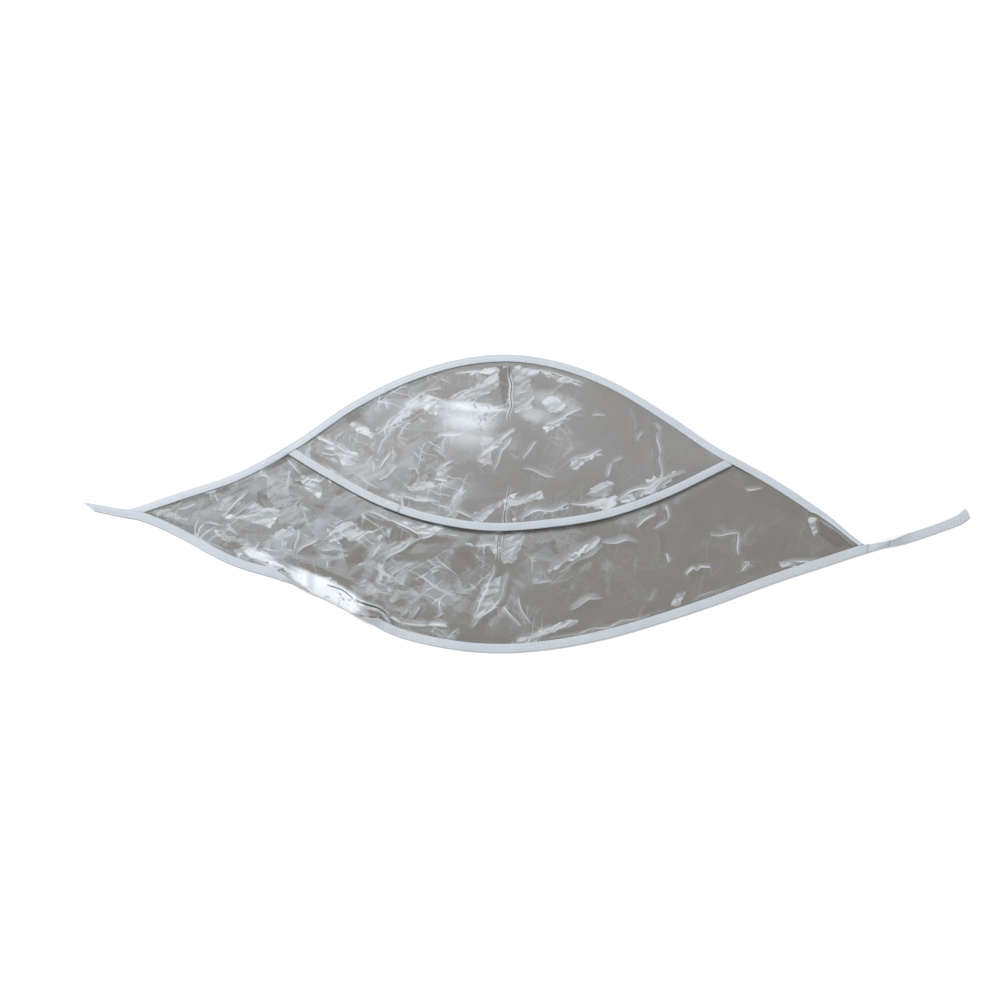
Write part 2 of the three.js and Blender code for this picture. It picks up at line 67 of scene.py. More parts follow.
HEM_EDGE = [
    (-201.3, 73.3), (-172.5, 56.0), (-143.8, 39.4), (-100.6, 17.5), (-57.5, 4.2), (-8.6, -1.2), (43.1, 5.0),
    (86.3, 15.6), (129.4, 34.4), (172.5, 59.4), (201.3, 76.6),
]

# Width of the tapes along x, as a share of the tape's full width: x in mm, share
TOP_WIDTH = [
    (-287.5, 1.0), (248.0, 1.0), (256.0, 0.76), (279.0, 0.58), (296.0, 0.5),
]
LOWER_WIDTH = [
    (-326.0, 0.82), (-303.0, 0.92), (-287.5, 1.0), (-176.0, 1.0), (-152.0, 0.55), (-104.0, 0.55),
    (-84.0, 1.0), (287.5, 1.05), (309.0, 0.72), (330.0, 1.05), (348.0, 1.04), (373.5, 1.2),
]

# Turn of the lower tape about its outer edge: x in mm, degrees
LOWER_TURN = [
    (-194.0, 0), (-175.0, 10), (-158.0, 75), (-145.0, 180), (-118.0, 180), (-102.0, 70), (-87.0, 12),
    (-74.0, 0), (293.0, 0), (309.0, 36), (330.0, 0),
]

# Slanting cut of each tie: how far the inner edge runs on past the outer edge
LEFT_CUT = -9.8 * MM
RIGHT_CUT = -3.8 * MM

# Where the hem's tape laps over its own end: from x to x in mm, and how much thicker it is there. The tape
# gets a painted shadow line at the second x.
HEM_LAP = (-94.0, -83.5)
LAP_RISE = 0.45 * MM
# Where the right tie's tape laps over at its waist, each marked by a painted shadow line: x in mm
TIE_LAPS = (291.0, 308.0)

# Creases along the stretch where the lower tape is turned under, in the columns of the folds below. Their
# white crests are partly whitened film and partly a painted highlight.
ROLL_FOLDS = [
    (-194, -32, -183, -37, 1.2, 3.0, 0.8), (-183, -37, -165, -45, 1.4, 2.6, 1.0),
    (-167, -44, -147, -50, 1.2, 2.6, 0.9), (-150, -52, -133, -58, 1.2, 2.2, 0.8),
    (-96, -74, -76, -86, 0.7, 2.0, 0.6), (-124, -64, -100, -79, 0.8, 2.2, 0.8),
    (-206, -25, -190, -36, 1.0, 2.4, 0.9), (-196, -30, -168, -41, 1.0, 2.4, 1.0),
    (-186, -35, -160, -46, 1.0, 2.2, 1.0), (-101, -75, -75, -88, 0.7, 2.0, 0.5),
    (-179, -39, -161, -47, 0.8, 2.4, 1.0), (-161, -47, -149, -49, 0.8, 2.4, 1.0),
    (-192, -32, -173, -47, 0.8, 2.4, 1.0), (-84, -77, -73, -81, 0.8, 2.4, 1.0),
    (-73, -81, -54, -83, 0.8, 2.4, 1.0), (-54, -83, -37, -82, 0.8, 2.4, 1.0),
]
# The same for the crease that gapes: two white lines, partly whitened film and partly painted highlight,
# with a line of painted shade between them
ROLL_CRACKS = [
    (-138, -52, -112, -65, 1.4, 2.8, 1.0), (-115, -63, -84, -78, 1.4, 2.8, 1.0),
    (-149, -50, -144, -55, 0.6, 1.6, 0.5), (-142, -49, -136, -58, 0.6, 1.6, 0.45),
    (-134, -50, -127, -54, 0.6, 1.6, 0.7), (-140, -61, -131, -62, 0.5, 1.6, 0.35),
    (-128, -60, -119, -67, 0.5, 1.6, 0.5),
]
# The stretch where the rolled film is painted nearly white, a painted highlight on the rolled edge: from x
# to x, and how far in from the edge
ROLL_BAND = (-172 * MM, -100 * MM, 13 * MM)

# Painted highlights: soft white spots of glare, each an ellipse: from x, y, to x, y, half width in mm,
# whiteness
SHEET_GLARE = [
    (-206, -24, -178, -38, 7, 0.7), (-192, -32, -168, -43, 4, 0.6),
]
FLAP_GLARE = [
    (-62, 106, 6, 101, 6, 0.85), (-64, 95, 4, 91, 15, 0.5), (-62, 82, 0, 79, 20, 0.36),
    (4, 100, 42, 97, 9, 0.35), (-90, 106, -50, 103, 6, 0.4), (10, 120, 66, 104, 12, 0.35),
]

# Folds of the sheet: from x, y, to x, y, height and half width in mm, whiteness of the crest. The whiteness
# is partly the film's own whitening in a crease and partly a painted highlight. Cracks are the folds that
# gape, with painted shade in the gap. A row of five numbers leaves out the height and half width, which are
# those of
# FINE_FOLD. FOLD_SHARE is how much of each height is built, on the sheet and on the flap.
FOLD_SHARE = 0.45
FINE_FOLD = (0.6, 3)
SHEET_FOLDS = [
    (-260, 6, -247, 11, 0.7, 4, 0.6), (-238, -5, -224, -7, 0.7, 4, 0.6), (-225, 1, -206, 25, 0.6, 5, 0.8),
    (-221, 1, -200, 10, 0.5, 5, 0.6), (-175, -16, -173, -28, 0.8, 4, 0.5),
    (-173, -28, -179, -37, 0.8, 4, 0.5), (-163, -7, -162, -27, 0.8, 4, 0.6),
    (-161, -28, -145, -14, 0.8, 4, 0.7), (-176, 54, -163, 40, 1.0, 4, 0.7),
    (-163, 40, -148, 34, 1.0, 4, 0.9), (-174, 51, -174, 26, 0.8, 4, 0.5),
    (-167, -33, -151, -42, 1.0, 5, 0.6), (-139, -29, -138, -44, 0.8, 5, 0.6),
    (-144, -21, -122, -24, 1.0, 4, 0.8), (-108, -32, -92, -14, 1.0, 5, 0.6),
    (-96, -31, -66, -10, 1.2, 5, 0.8), (-66, -10, -48, -3, 1.0, 5, 0.8), (-89, -49, -72, -30, 0.9, 5, 0.5),
    (-54, -39, -46, -35, 0.5), (-104, -68, -99, -49, 0.7, 4, 0.7), (-89, -69, -74, -71, 0.7, 4, 0.7),
    (-77, -76, -70, -69, 0.6), (-68, -77, -60, -67, 0.6), (-46, -76, -41, -70, 0.7, 4, 0.8),
    (-163, 18, -153, -7, 0.9, 6, 0.3), (-91, 7, -61, -8, 1.2, 6, 0.9), (-61, -8, -33, -5, 1.0, 6, 0.6),
    (-22, -13, -1, -15, 1.0, 5, 0.9), (37, -35, 82, 0, 1.0, 5, 0.4), (41, -37, 84, -8, 0.7, 4, 0.3),
    (81, -6, 111, -4, 0.9, 5, 0.7), (56, -65, 83, -51, 0.9, 6, 0.6), (15, -93, 62, -75, 1.0, 5, 0.8),
    (107, 9, 123, 21, 0.9, 4, 0.9), (148, -30, 167, -21, 0.9, 5, 0.8), (138, -58, 147, -45, 0.9, 5, 0.7),
    (187, 7, 189, -11, 0.9, 5, 0.8), (193, -26, 197, -14, 0.7, 4, 0.6), (195, 44, 206, 48, 0.7, 4, 0.6),
    (121, 20, 128, -30, 0.8, 7, 0.1), (252, 24, 282, 1, 0.9, 5, 0.5), (-4, -29, -17, -75, 1.4, 5, 0.8),
    (7, -33, -2, -71, 1.2, 5, 0.7), (-22, -84, 4, -60, 1.0, 5, 0.7), (-110, 14, -84, 2, 0.9, 5, 0.6),
    (132, -13, 135, -21, 0.8), (148, -29, 155, -23, 0.9), (155, -23, 169, -22, 0.9), (185, 4, 187, -9, 0.6),
    (197, -15, 192, -27, 0.7), (125, -42, 116, -53, 0.4), (121, -65, 60, -85, 0.5),
    (183, -37, 153, -50, 0.4), (222, -17, 257, -12, 0.8), (59, -63, 81, -51, 0.6), (25, -44, 43, -41, 0.6),
    (130, 30, 132, 16, 0.7), (132, 16, 124, 6, 0.6), (-1, 0, 2, -25, 0.7, 3, 0.7),
    (17, -3, 9, -26, 0.7, 3, 0.6),
]
SHEET_CRACKS = [(-4, 0, -2, -27, 1.2, 4, 0.7)]

# Folds and cracks of the flap, in the same columns
FLAP_FOLDS = [
    (114, 107, 121, 40, 0.8, 7, 0.15), (-46, 134, -8, 140, 1.0, 4, 0.9), (28, 142, 62, 131, 1.0, 4, 0.9),
    (31, 87, 60, 107, 1.1, 4, 0.9), (52, 57, 77, 70, 1.0, 4, 0.9), (-108, 76, -90, 94, 0.5, 6, 0.6),
    (-90, 94, -69, 112, 0.5, 6, 0.7), (-71, 112, -46, 107, 1.4, 6, 0.9), (-48, 107, -22, 99, 1.4, 6, 0.9),
    (-24, 99, 3, 101, 1.2, 6, 0.7), (-150, 53, -115, 30, 0.8, 4, 0.6), (-115, 30, -92, 19, 0.8, 4, 0.6),
    (-104, 46, -90, 64, 0.9, 4, 0.7), (-99, 38, -87, 47, 0.8, 4, 0.6), (-91, 24, -52, 21, 0.9, 4, 0.8),
    (3, 21, 29, 28, 0.9, 4, 0.7), (77, 26, 83, 38, 0.7), (122, 95, 124, 71, 0.7), (124, 71, 126, 46, 0.8),
    (119, 99, 125, 92, 0.8), (128, 44, 138, 53, 0.9), (81, 47, 87, 60, 0.7), (87, 60, 95, 68, 0.7),
    (105, 80, 111, 91, 0.5), (69, 101, 80, 103, 0.5), (6, 143, 23, 139, 0.9), (-8, 46, 7, 85, 0.9, 4, 0.6),
    (-47, 11, -30, 33, 0.9, 5, 0.5), (-126, 87, -108, 74, 0.9, 5, 0.8), (-40, 13, -19, 9, 0.8, 4, 0.9),
    (-19, 9, -5, 19, 0.8, 4, 0.7), (-60, 66, -42, 52, 0.7, 5, 0.3), (14, 50, 40, 44, 0.6, 5, 0.5),
    (100, 112, 104, 84, 0.7, 6, 0.2), (-156, 75, -138, 68, 0.8), (-138, 68, -124, 59, 0.8),
    (-124, 59, -117, 51, 0.7), (-99, 109, -97, 99, 0.1, 3, 0.6), (-90, 65, -94, 51, 0.6),
    (-123, 38, -110, 31, 0.5), (-71, 51, -67, 42, 0.6), (-67, 42, -72, 31, 0.6), (-77, 48, -67, 49, 0.5),
    (-80, 22, -50, 21, 0.9), (-55, 45, -41, 54, 0.9), (-55, 38, -44, 37, 0.9), (-102, 25, -78, 24, 0.5),
    (-161, 54, -136, 41, 0.6), (-136, 41, -109, 28, 0.6), (-109, 28, -85, 16, 0.6), (-85, 16, -50, 11, 0.5),
    (-142, 70, -131, 81, 0.6), (-132, 49, -124, 60, 0.5), (-116, 45, -107, 59, 0.5),
    (-104, 61, -93, 81, 0.6), (-87, 73, -79, 91, 0.5), (-23, 55, -8, 71, 0.7), (-8, 71, 7, 85, 0.7),
    (-148, 59, -135, 60, 0.6), (12, 11, 54, 22, 0.7, 3, 1.0), (54, 22, 90, 29, 0.7, 3, 1.0),
    (90, 29, 126, 49, 0.7, 3, 1.0), (126, 49, 146, 58, 0.9),
]
FLAP_CRACKS = [
    (0, 147, 2, 92, 1.8, 4, 0.7), (3, 38, 4, 5, 1.0, 4, 0.6),
]

# Shards of the film, paler where whiteness is above 0, partly whitened film and partly painted highlight,
# and darker below, a painted shade: whiteness, corners x, y in mm
SHEET_SHARDS = [
    (0.8, [(-221, 1), (-199, 12), (-181, 7), (-186, -5), (-209, -2)]),
    (0.8, [(-213, -27), (-203, -23), (-200, -26), (-207, -32)]),
    (0.8, [(-140, -13), (-129, 0), (-118, -5), (-130, -15)]),
    (0.6, [(-183, -13), (-167, -5), (-164, -9), (-177, -18)]), (0.6, [(-115, -2), (-93, -9), (-96, -13)]),
    (0.9, [(-163, 39), (-146, 32), (-148, 21), (-158, 27)]), (0.9, [(-82, 5), (-44, 1), (-62, -9)]),
    (0.9, [(-24, -13), (-1, -14), (-3, -19)]), (0.9, [(-150, -47), (-134, -46), (-129, -55), (-145, -58)]),
    (0.45, [(-108, -32), (-93, -15), (-66, -10), (-96, -32)]),
    (0.45, [(-89, -49), (-74, -32), (-67, -30), (-76, -49)]), (0.45, [(-88, -53), (-65, -57), (-84, -62)]),
    (0.5, [(11, -2), (19, -1), (10, -26), (7, -25)]),
    (0.45, [(-124, -52), (-103, -49), (-95, -55), (-109, -63)]),
    (0.45, [(-282, 2), (-266, 8), (-251, -3), (-260, -4)]),
    (0.45, [(-233, 15), (-214, 22), (-218, 8), (-229, 8)]),
    (0.3, [(-195, 36), (-174, 44), (-169, 18), (-181, 13)]),
    (0.3, [(-174, 18), (-157, 14), (-161, -3), (-176, 0)]),
    (0.3, [(-240, -12), (-215, -13), (-200, -21), (-222, -19)]),
    (0.9, [(39, -33), (76, -2), (82, -4), (48, -29)]),
    (0.6, [(-12, -46), (1, -40), (-5, -63), (-15, -76), (-18, -74)]),
    (0.8, [(14, -94), (32, -82), (61, -74), (31, -92)]),
    (0.8, [(146, -44), (148, -45), (141, -56), (137, -56)]),
    (0.9, [(243, 27), (251, 24), (250, 8), (247, 10)]), (-0.3, [(253, 22), (283, 0), (270, 1), (255, 10)]),
    (0.8, [(224, -16), (252, -11), (252, -14), (225, -18)]), (0.6, [(2, -2), (8, -2), (9, -25), (2, -23)]),
    (1.0, [(-197, -29), (-189, -26), (-180, -35), (-168, -48), (-176, -45)]),
    (0.3, [(-152, -16), (-136, -19), (-123, -27), (-141, -32)]),
    (0.7, [(-139, -4), (-125, 2), (-105, -5), (-119, -14)]),
    (0.9, [(-141, -5), (-115, 0), (-119, -7), (-138, -11)]),
]
FLAP_SHARDS = [
    (0.8, [(-126, 87), (-110, 79), (-107, 73), (-120, 79)]),
    (0.8, [(-145, 65), (-125, 61), (-105, 51), (-129, 56)]),
    (0.8, [(28, 140), (62, 130), (60, 126), (31, 136)]),
    (0.6, [(-108, 76), (-90, 94), (-69, 112), (-71, 101), (-90, 84)]),
    (0.6, [(-55, 44), (-39, 53), (-38, 51), (-53, 40)]),
    (0.45, [(-50, 108), (-8, 133), (-10, 122), (-39, 102)]),
    (0.45, [(2, 129), (16, 137), (19, 119), (5, 101)]), (0.45, [(-47, 11), (-35, 31), (-25, 36), (-37, 11)]),
    (0.45, [(-19, 74), (-11, 75), (-10, 53), (-18, 49)]),
    (0.5, [(-72, 110), (-50, 107), (-46, 95), (-63, 96)]), (0.9, [(-40, 14), (-19, 11), (-19, 7)]),
    (0.9, [(-19, 11), (-5, 19), (-19, 7)]), (0.9, [(-35, 136), (-6, 141), (-8, 137), (-32, 133)]),
    (0.9, [(31, 86), (60, 106), (61, 102), (33, 83)]), (0.9, [(51, 55), (77, 69), (78, 66), (54, 53)]),
    (0.7, [(-91, 25), (-52, 22), (-53, 19), (-82, 21)]),
    (0.25, [(-134, 43), (-115, 60), (-97, 45), (-113, 30)]), (1.0, [(8, 9), (54, 24), (56, 18), (12, 8)]),
    (1.0, [(56, 24), (90, 32), (92, 26), (59, 19)]),
    (1.0, [(92, 29), (117, 46), (130, 51), (124, 41), (96, 27)]),
    (0.7, [(60, 32), (82, 43), (87, 42), (84, 34), (63, 28)]), (0.9, [(2, 22), (29, 31), (31, 27), (3, 18)]),
    (0.8, [(27, 111), (38, 118), (52, 107), (34, 102)]), (0.8, [(32, 87), (61, 106), (57, 101), (34, 84)]),
    (0.6, [(3, 139), (8, 142), (21, 113), (18, 105), (5, 100)]),
    (0.7, [(-55, 105), (-12, 136), (-8, 123), (-30, 105)]),
    (0.9, [(-69, 114), (-51, 110), (-42, 100), (-58, 95), (-71, 102)]),
    (0.9, [(114, 48), (125, 52), (130, 44), (119, 40)]), (0.9, [(5, 145), (23, 141), (21, 136), (7, 139)]),
    (0.7, [(-23, 55), (-18, 52), (-5, 68), (5, 82), (-2, 79)]),
    (0.7, [(-81, 33), (-54, 37), (-54, 32), (-75, 28)]),
    (0.8, [(-156, 76), (-134, 68), (-138, 64), (-152, 71)]),
    (0.7, [(-128, 60), (-115, 52), (-123, 46), (-131, 53)]),
    (0.8, [(-86, 104), (-70, 112), (-56, 110), (-58, 105), (-79, 98)]),
    (-0.3, [(-132, 93), (-101, 116), (-100, 113), (-127, 88)]),
    (-0.3, [(-101, 117), (-57, 138), (-55, 135), (-98, 113)]),
    (-0.35, [(-9, 141), (-1, 141), (1, 100), (-5, 99)]), (-0.7, [(-56, 41), (-46, 40), (-49, 37)]),
]

# Smooth swelling in the middle of the flap: x, y, half width, half depth and height in mm
FLAP_BULGE = (-6, 62, 58, 40, 2.8)

# Short random folds between those of the tables: how many, and the box from x to x and from y to y in mm
SHEET_RANDOM = (50, (-260, 260, -100, 110))
FLAP_RANDOM = (40, (-150, 150, 10, 140))
# Their length, height and half width from and to, in mm, and the root of the greatest whiteness
RANDOM_LENGTH = (8, 30)
RANDOM_RISE = (0.3, 0.9)
RANDOM_REACH = (2.5, 5.5)
RANDOM_WHITE = 0.9

# Size of the film's facets and of its slow waves, and the height of the waves
FACET_SIZE = 26 * MM
WAVE_SIZE = 90 * MM
WAVE_RISE = 0.45 * MM
# How crinkled the right is next to the left, and the x and the run over which the crinkles sink to that
RIGHT_CRINKLE = 0.16
CRINKLE_FADE = (-60 * MM, 150 * MM)

# Points of the films' grids, points across the top of a tape's section, and the step along a tape
SHEET_COLUMNS = 370
SHEET_ROWS = 118
ARCH_ROWS = 14
FLAP_COLUMNS = 300
FLAP_ROWS = 130
TOP_POINTS = 12
TAPE_STEP = 0.8 * MM

# Film that rolls over the turned tape: how far in it comes down, and how much it stands up
ROLL_REACH = 17 * MM
ROLL_RISE = 3.3 * MM

# Gaps: a film's edge to the fold of its tape, a tape's free edge to where its film may leave it, the hem's
# ends to the top tape, the top tape's ends to the lower tape, and the top tape to the hem's tape inside a
# joint
SEAM_GAP = 0.4 * MM
LIP_GAP = 0.6 * MM
HEM_GAP = 0.25 * MM
CORNER_GAP = 0.15 * MM
JOINT_GAP = 0.15 * MM
# Least height of the flap over the sheet, and width of the hem's tape as a share of the others'
FLAP_GAP = 0.3 * MM
HEM_SHARE = 0.93

# Inside a joint the flap and the top tape ease down over JOINT_RUN, for the flap from JOINT_INSET in. Beyond
# it the top tape thins over BEYOND_RUN. The hem and the dome rise from ARCH_INSET in.
JOINT_INSET = 8 * MM
JOINT_RUN = 24 * MM
BEYOND_RUN = 20 * MM
ARCH_INSET = 12 * MM
# Runs over which the lower tape closes into a tie, and over which the crinkles grow away from a joint
TIE_RUN = 14 * MM
CLEAR_RUN = 22 * MM
# Runs in from the tapes over which the sheet's crinkles grow, the sheet sinks to the floor, the folds of the
# roll grow, the flap's crinkles grow, and the flap comes clear of the sheet
SHEET_MARGIN = 5 * MM
SINK_RUN = 4 * MM
ROLL_MARGIN = 3 * MM
FLAP_MARGIN = 7 * MM
FREE_RUN = 3 * MM

# Stitches: pitch, place across the tape as a share of its width, thickness of the thread, rings and sides
STITCH_PITCH = 2.8 * MM
STITCH_SHARE = 0.76
THREAD = 0.34 * MM
STITCH_RINGS = 5
STITCH_SIDES = 6

# Facets drawn on the film: degrees of their slant, scale, steepness, how cloudy they get. The clouding is
# partly the film's own haze and partly a painted reflection of the tilted facets.
FACETS = ((34, 34.0, 0.05, 0.8), (-30, 66.0, 0.06, 0.75), (48, 170.0, 0.03, 0.35))
# Hair lines drawn on the film, partly whitened film and partly painted glints: degrees of their slant, scale
HAIRS = ((38, 34.0), (-27, 46.0), (82, 40.0))
# How much longer than wide a facet, a hair line and a shard's streaks are: stretch along x, y and z
FACET_STRETCH = (2.0, 0.67, 1.0)
HAIR_STRETCH = (4.5, 0.6, 1.0)
STREAK_STRETCH = (3.0, 0.6, 1.0)
# Colours of the painted highlight in the soft white spots, of the painted shade on the darker shards and of
# the painted shade in an open crack
GLARE_WHITE = (0.88, 0.94, 0.99, 1)
SHARD_SHADE = (0.06, 0.055, 0.05, 1)
CRACK_SHADE = (0.05, 0.05, 0.05, 1)

# Softboxes: name, place, width, depth, power in watts, colour, and whether the film mirrors it
SOFTBOXES = (
    ("key_softbox", (-1.9, 1.5, 1.9), 0.9, 0.9, 105, (1.0, 0.99, 0.98), False),
    ("left_softbox", (-0.62, 0.85, 2.1), 0.6, 0.7, 2.6, (0.72, 0.86, 1.0), True),
    ("middle_softbox", (-0.15, 1.1, 2.1), 0.6, 0.45, 1.8, (0.72, 0.86, 1.0), True),
    ("glint_softbox", (-0.4, 1.45, 2.1), 0.8, 0.3, 1.2, (0.92, 0.97, 1.0), True),
    ("fill_softbox", (1.3, -2.2, 1.9), 1.6, 1.6, 40, (1.0, 0.99, 0.97), True),
)
WORLD_COLOUR = (0.97, 0.98, 1.0, 1)
WORLD_STRENGTH = 0.4

# Camera and floor
CAMERA_TARGET = (-21.491 * MM, 0.622 * MM, 0)
CAMERA_DISTANCE = 2.22778
CAMERA_ELEVATION = radians(68)
CAMERA_AZIMUTH = radians(2.82)
FLOOR_SIZE = 12.0


def smooth(t):
    """Ramp from 0 to 1 that starts and ends level: three t squared minus two t cubed."""
    t = np.clip(t, 0, 1)
    return t * t * (3 - 2 * t)


def mix(a, b, t):
    return a + (b - a) * t


def strip(from_low, from_high, run):
    """0 at both sides of a strip and 1 from the run inward, by the distances from the two sides."""
    return smooth(from_low / run) * smooth(from_high / run)


def curve_through(rows):
    """The smooth curve through the rows (x, y) in mm, in metres. Between two rows it is the cubic that has,
    at each of them, the slope of the line between their neighbours. It runs straight on beyond both ends."""
    x, y = (np.array(rows, float) * MM).T
    last = len(x) - 1
    before = np.maximum(np.arange(len(x)) - 1, 0)
    after = np.minimum(np.arange(len(x)) + 1, last)
    slope = (y[after] - y[before]) / (x[after] - x[before])

    def at(q):
        i = np.clip(np.searchsorted(x, q, side="right") - 1, 0, last - 1)
        run = x[i + 1] - x[i]
        t = np.clip((q - x[i]) / run, 0, 1)
        inside = mix(y[i], y[i + 1], smooth(t)) + t * (1 - t) ** 2 * run * slope[i]
        inside = inside - t * t * (1 - t) * run * slope[i + 1]
        return inside + np.minimum(q - x[0], 0) * slope[0] + np.maximum(q - x[-1], 0) * slope[-1]

    return at


def level_through(rows):
    """A value along x that eases from each row (x in mm, value) to the next, and stays level beyond the
    ends."""
    x = np.array([row[0] for row in rows]) * MM
    value = np.array([row[1] for row in rows], float)

    def at(q):
        i = np.clip(np.searchsorted(x, q, side="right") - 1, 0, len(x) - 2)
        return mix(value[i], value[i + 1], smooth((q - x[i]) / (x[i + 1] - x[i])))

    return at


class Edge:
    """An outer edge in plan. side is +1 where the cloth lies above the edge and -1 where it lies below."""

    def __init__(self, rows, side):
        self.y = curve_through(rows)
        self.side = side

    def stretch(self, x):
        """How much longer a width across the tape is when it is measured along Y."""
        return np.hypot(1, (self.y(x + MM) - self.y(x - MM)) / (2 * MM))

    def line(self, x, inward):
        """Y of the line that keeps the given distance inward from the edge."""
        return self.y(x) + self.side * inward * self.stretch(x)


def crossing(difference, a, b):
    """The x between a and b at which a difference changes sign, by halving the span forty times."""
    sign = np.sign(difference(a))
    for _ in range(40):
        middle = (a + b) / 2
        if np.sign(difference(middle)) == sign:
            a = middle
        else:
            b = middle
    return (a + b) / 2


class Pattern:
    """The cut and the heights of the laid bonnet, worked out from the sizes of the panel."""

    def __init__(self, sizes):
        self.sizes = sizes
        self.top = Edge(TOP_EDGE, -1)
        self.lower = Edge(LOWER_EDGE, 1)
        self.hem = Edge(HEM_EDGE, 1)
        self.top_share = level_through(TOP_WIDTH)
        self.lower_share = level_through(LOWER_WIDTH)
        self.turn_degrees = level_through(LOWER_TURN)
        film, wall, clear = sizes.film, sizes.tape_wall, sizes.clearance
        self.seam = wall + SEAM_GAP
        self.mouth = sizes.tape_width + LIP_GAP
        self.sheet_z = wall + clear + film / 2
        self.single = 2 * wall + 2 * clear + film
        self.hem_base = self.sheet_z + film / 2 + clear
        self.hem_mid = self.hem_base + self.single / 2
        self.flap_z = self.sheet_z + film + clear
        self.sewn = 2 * wall + clear / 2
        self.sheet_left = crossing(self.sheet_room, 0.0, -1.2 * HALF_SPAN)
        self.sheet_right = crossing(self.sheet_room, 0.0, 1.2 * HALF_SPAN)
        self.flap_left = crossing(self.flap_room, 0.0, -HALF_SPAN)
        self.flap_right = crossing(self.flap_room, 0.0, HALF_SPAN)

    def top_width(self, x):
        return self.sizes.tape_width * self.top_share(x)

    def lower_width(self, x):
        return self.sizes.tape_width * self.lower_share(x)

    def turn(self, x):
        return np.radians(self.turn_degrees(x))

    def sheet_room(self, x):
        """Depth of the sheet at x, less the blunt end at which it stops."""
        return self.top.line(x, self.seam) - self.lower.line(x, self.seam) - self.sizes.tape_width

    def flap_room(self, x):
        return self.top.line(x, self.seam) - self.hem.line(x, self.seam) - 2 * MM

    def cut(self, edge, left, right):
        """Size (width, length) and area of the film between the top edge and the given edge, laid flat."""
        x = np.linspace(left, right, 400)
        depth = self.top.line(x, self.seam) - edge.line(x, self.seam)
        return (right - left, float(depth.max())), float(depth.mean() * (right - left))

    def arch(self, x):
        """1 halfway between the joints, 0 beside each of them: the square of one minus the square of x."""
        middle = (self.flap_left + self.flap_right) / 2
        half = (self.flap_right - self.flap_left) / 2 - ARCH_INSET
        across = np.minimum(1, np.abs(x - middle) / half)
        return (1 - across**2) ** 2

    def hem_z(self, x):
        """Height of the middle of the hem's tape."""
        return self.hem_mid + self.sizes.hem_lift * self.arch(x)

    def flap_top_z(self, x):
        """Height of the flap's film inside the top tape: over the hem at the joints, on the sheet between
        them."""
        inside = np.minimum(x - self.flap_left, self.flap_right - x) - JOINT_INSET
        return mix(self.hem_mid, self.flap_z, smooth(inside / JOINT_RUN))

    def top_stack(self, x):
        """Height of the top tape: three layers at the joints, two films between them and one film beyond."""
        cover = self.sizes.film / 2 + self.sizes.clearance + self.sizes.tape_wall
        joint = self.hem_mid + self.single / 2 + JOINT_GAP
        outside = np.maximum(self.flap_left - x, x - self.flap_right)
        beyond = mix(joint, self.single, smooth(outside / BEYOND_RUN))
        inside = np.maximum(self.flap_top_z(x) + cover, mix(joint, 0, smooth(-outside / JOINT_RUN)))
        return np.where(outside < 0, inside, beyond)

    def lower_past(self, x):
        """0 where the lower tape holds the sheet, 1 where it is sewn shut as a tie."""
        past = np.maximum(self.sheet_left - x, x - self.sheet_right)
        return smooth(past / TIE_RUN)

    def clear_of_joints(self, x, y):
        """0 beside a joint, where the layers lie close together, and 1 further away."""
        left = np.hypot(x - self.flap_left, y - self.top.y(self.flap_left))
        right = np.hypot(x - self.flap_right, y - self.top.y(self.flap_right))
        return smooth(np.minimum(left, right) / CLEAR_RUN - 0.35)

    def near_hem(self, x, y):
        """1 right under the hem's tape and 0 from one tape's width away."""
        off = np.abs(y - self.hem.line(x, self.sizes.tape_width / 2))
        return 1 - smooth(off / (1.6 * self.sizes.tape_width) - 0.4)


def soft_noise(x, y, size, seed):
    """Slow rise and fall between about -1 and 1: seven sine waves of about the given length, in seeded
    directions, added up."""
    rng = np.random.default_rng(seed)
    total = np.zeros(np.broadcast(x, y).shape)
    for _ in range(7):
        turn, phase, length = rng.uniform(0, tau), rng.uniform(0, tau), size * rng.uniform(0.6, 1.6)
        total += np.sin((x * cos(turn) + y * sin(turn)) * tau / length + phase)
    return total / 3


def crumple(x, y, size, seed):
    """Flat facets that meet in sharp creases, about as steep everywhere. Triangle waves in seeded directions
    are bent by slow noise, fade in and out, and are added up. The result is a height for a slope of 1."""
    rng = np.random.default_rng(seed)
    total = np.zeros(np.broadcast(x, y).shape)
    for n in range(6):
        turn, length = pi * (n + rng.uniform(0, 0.8)) / 6, size * rng.uniform(0.6, 1.5)
        bend = 0.5 * size * soft_noise(x, y, 4 * size, seed + 11 * n + 1)
        across = (x * cos(turn) + y * sin(turn) + bend) / length + rng.uniform()
        wave = np.abs(across - np.floor(across) - 0.5) - 0.25
        fade = np.clip(0.35 + 0.9 * soft_noise(x, y, 3.2 * size, seed + 11 * n + 2), 0, 1)
        total += wave * fade * length
    return total


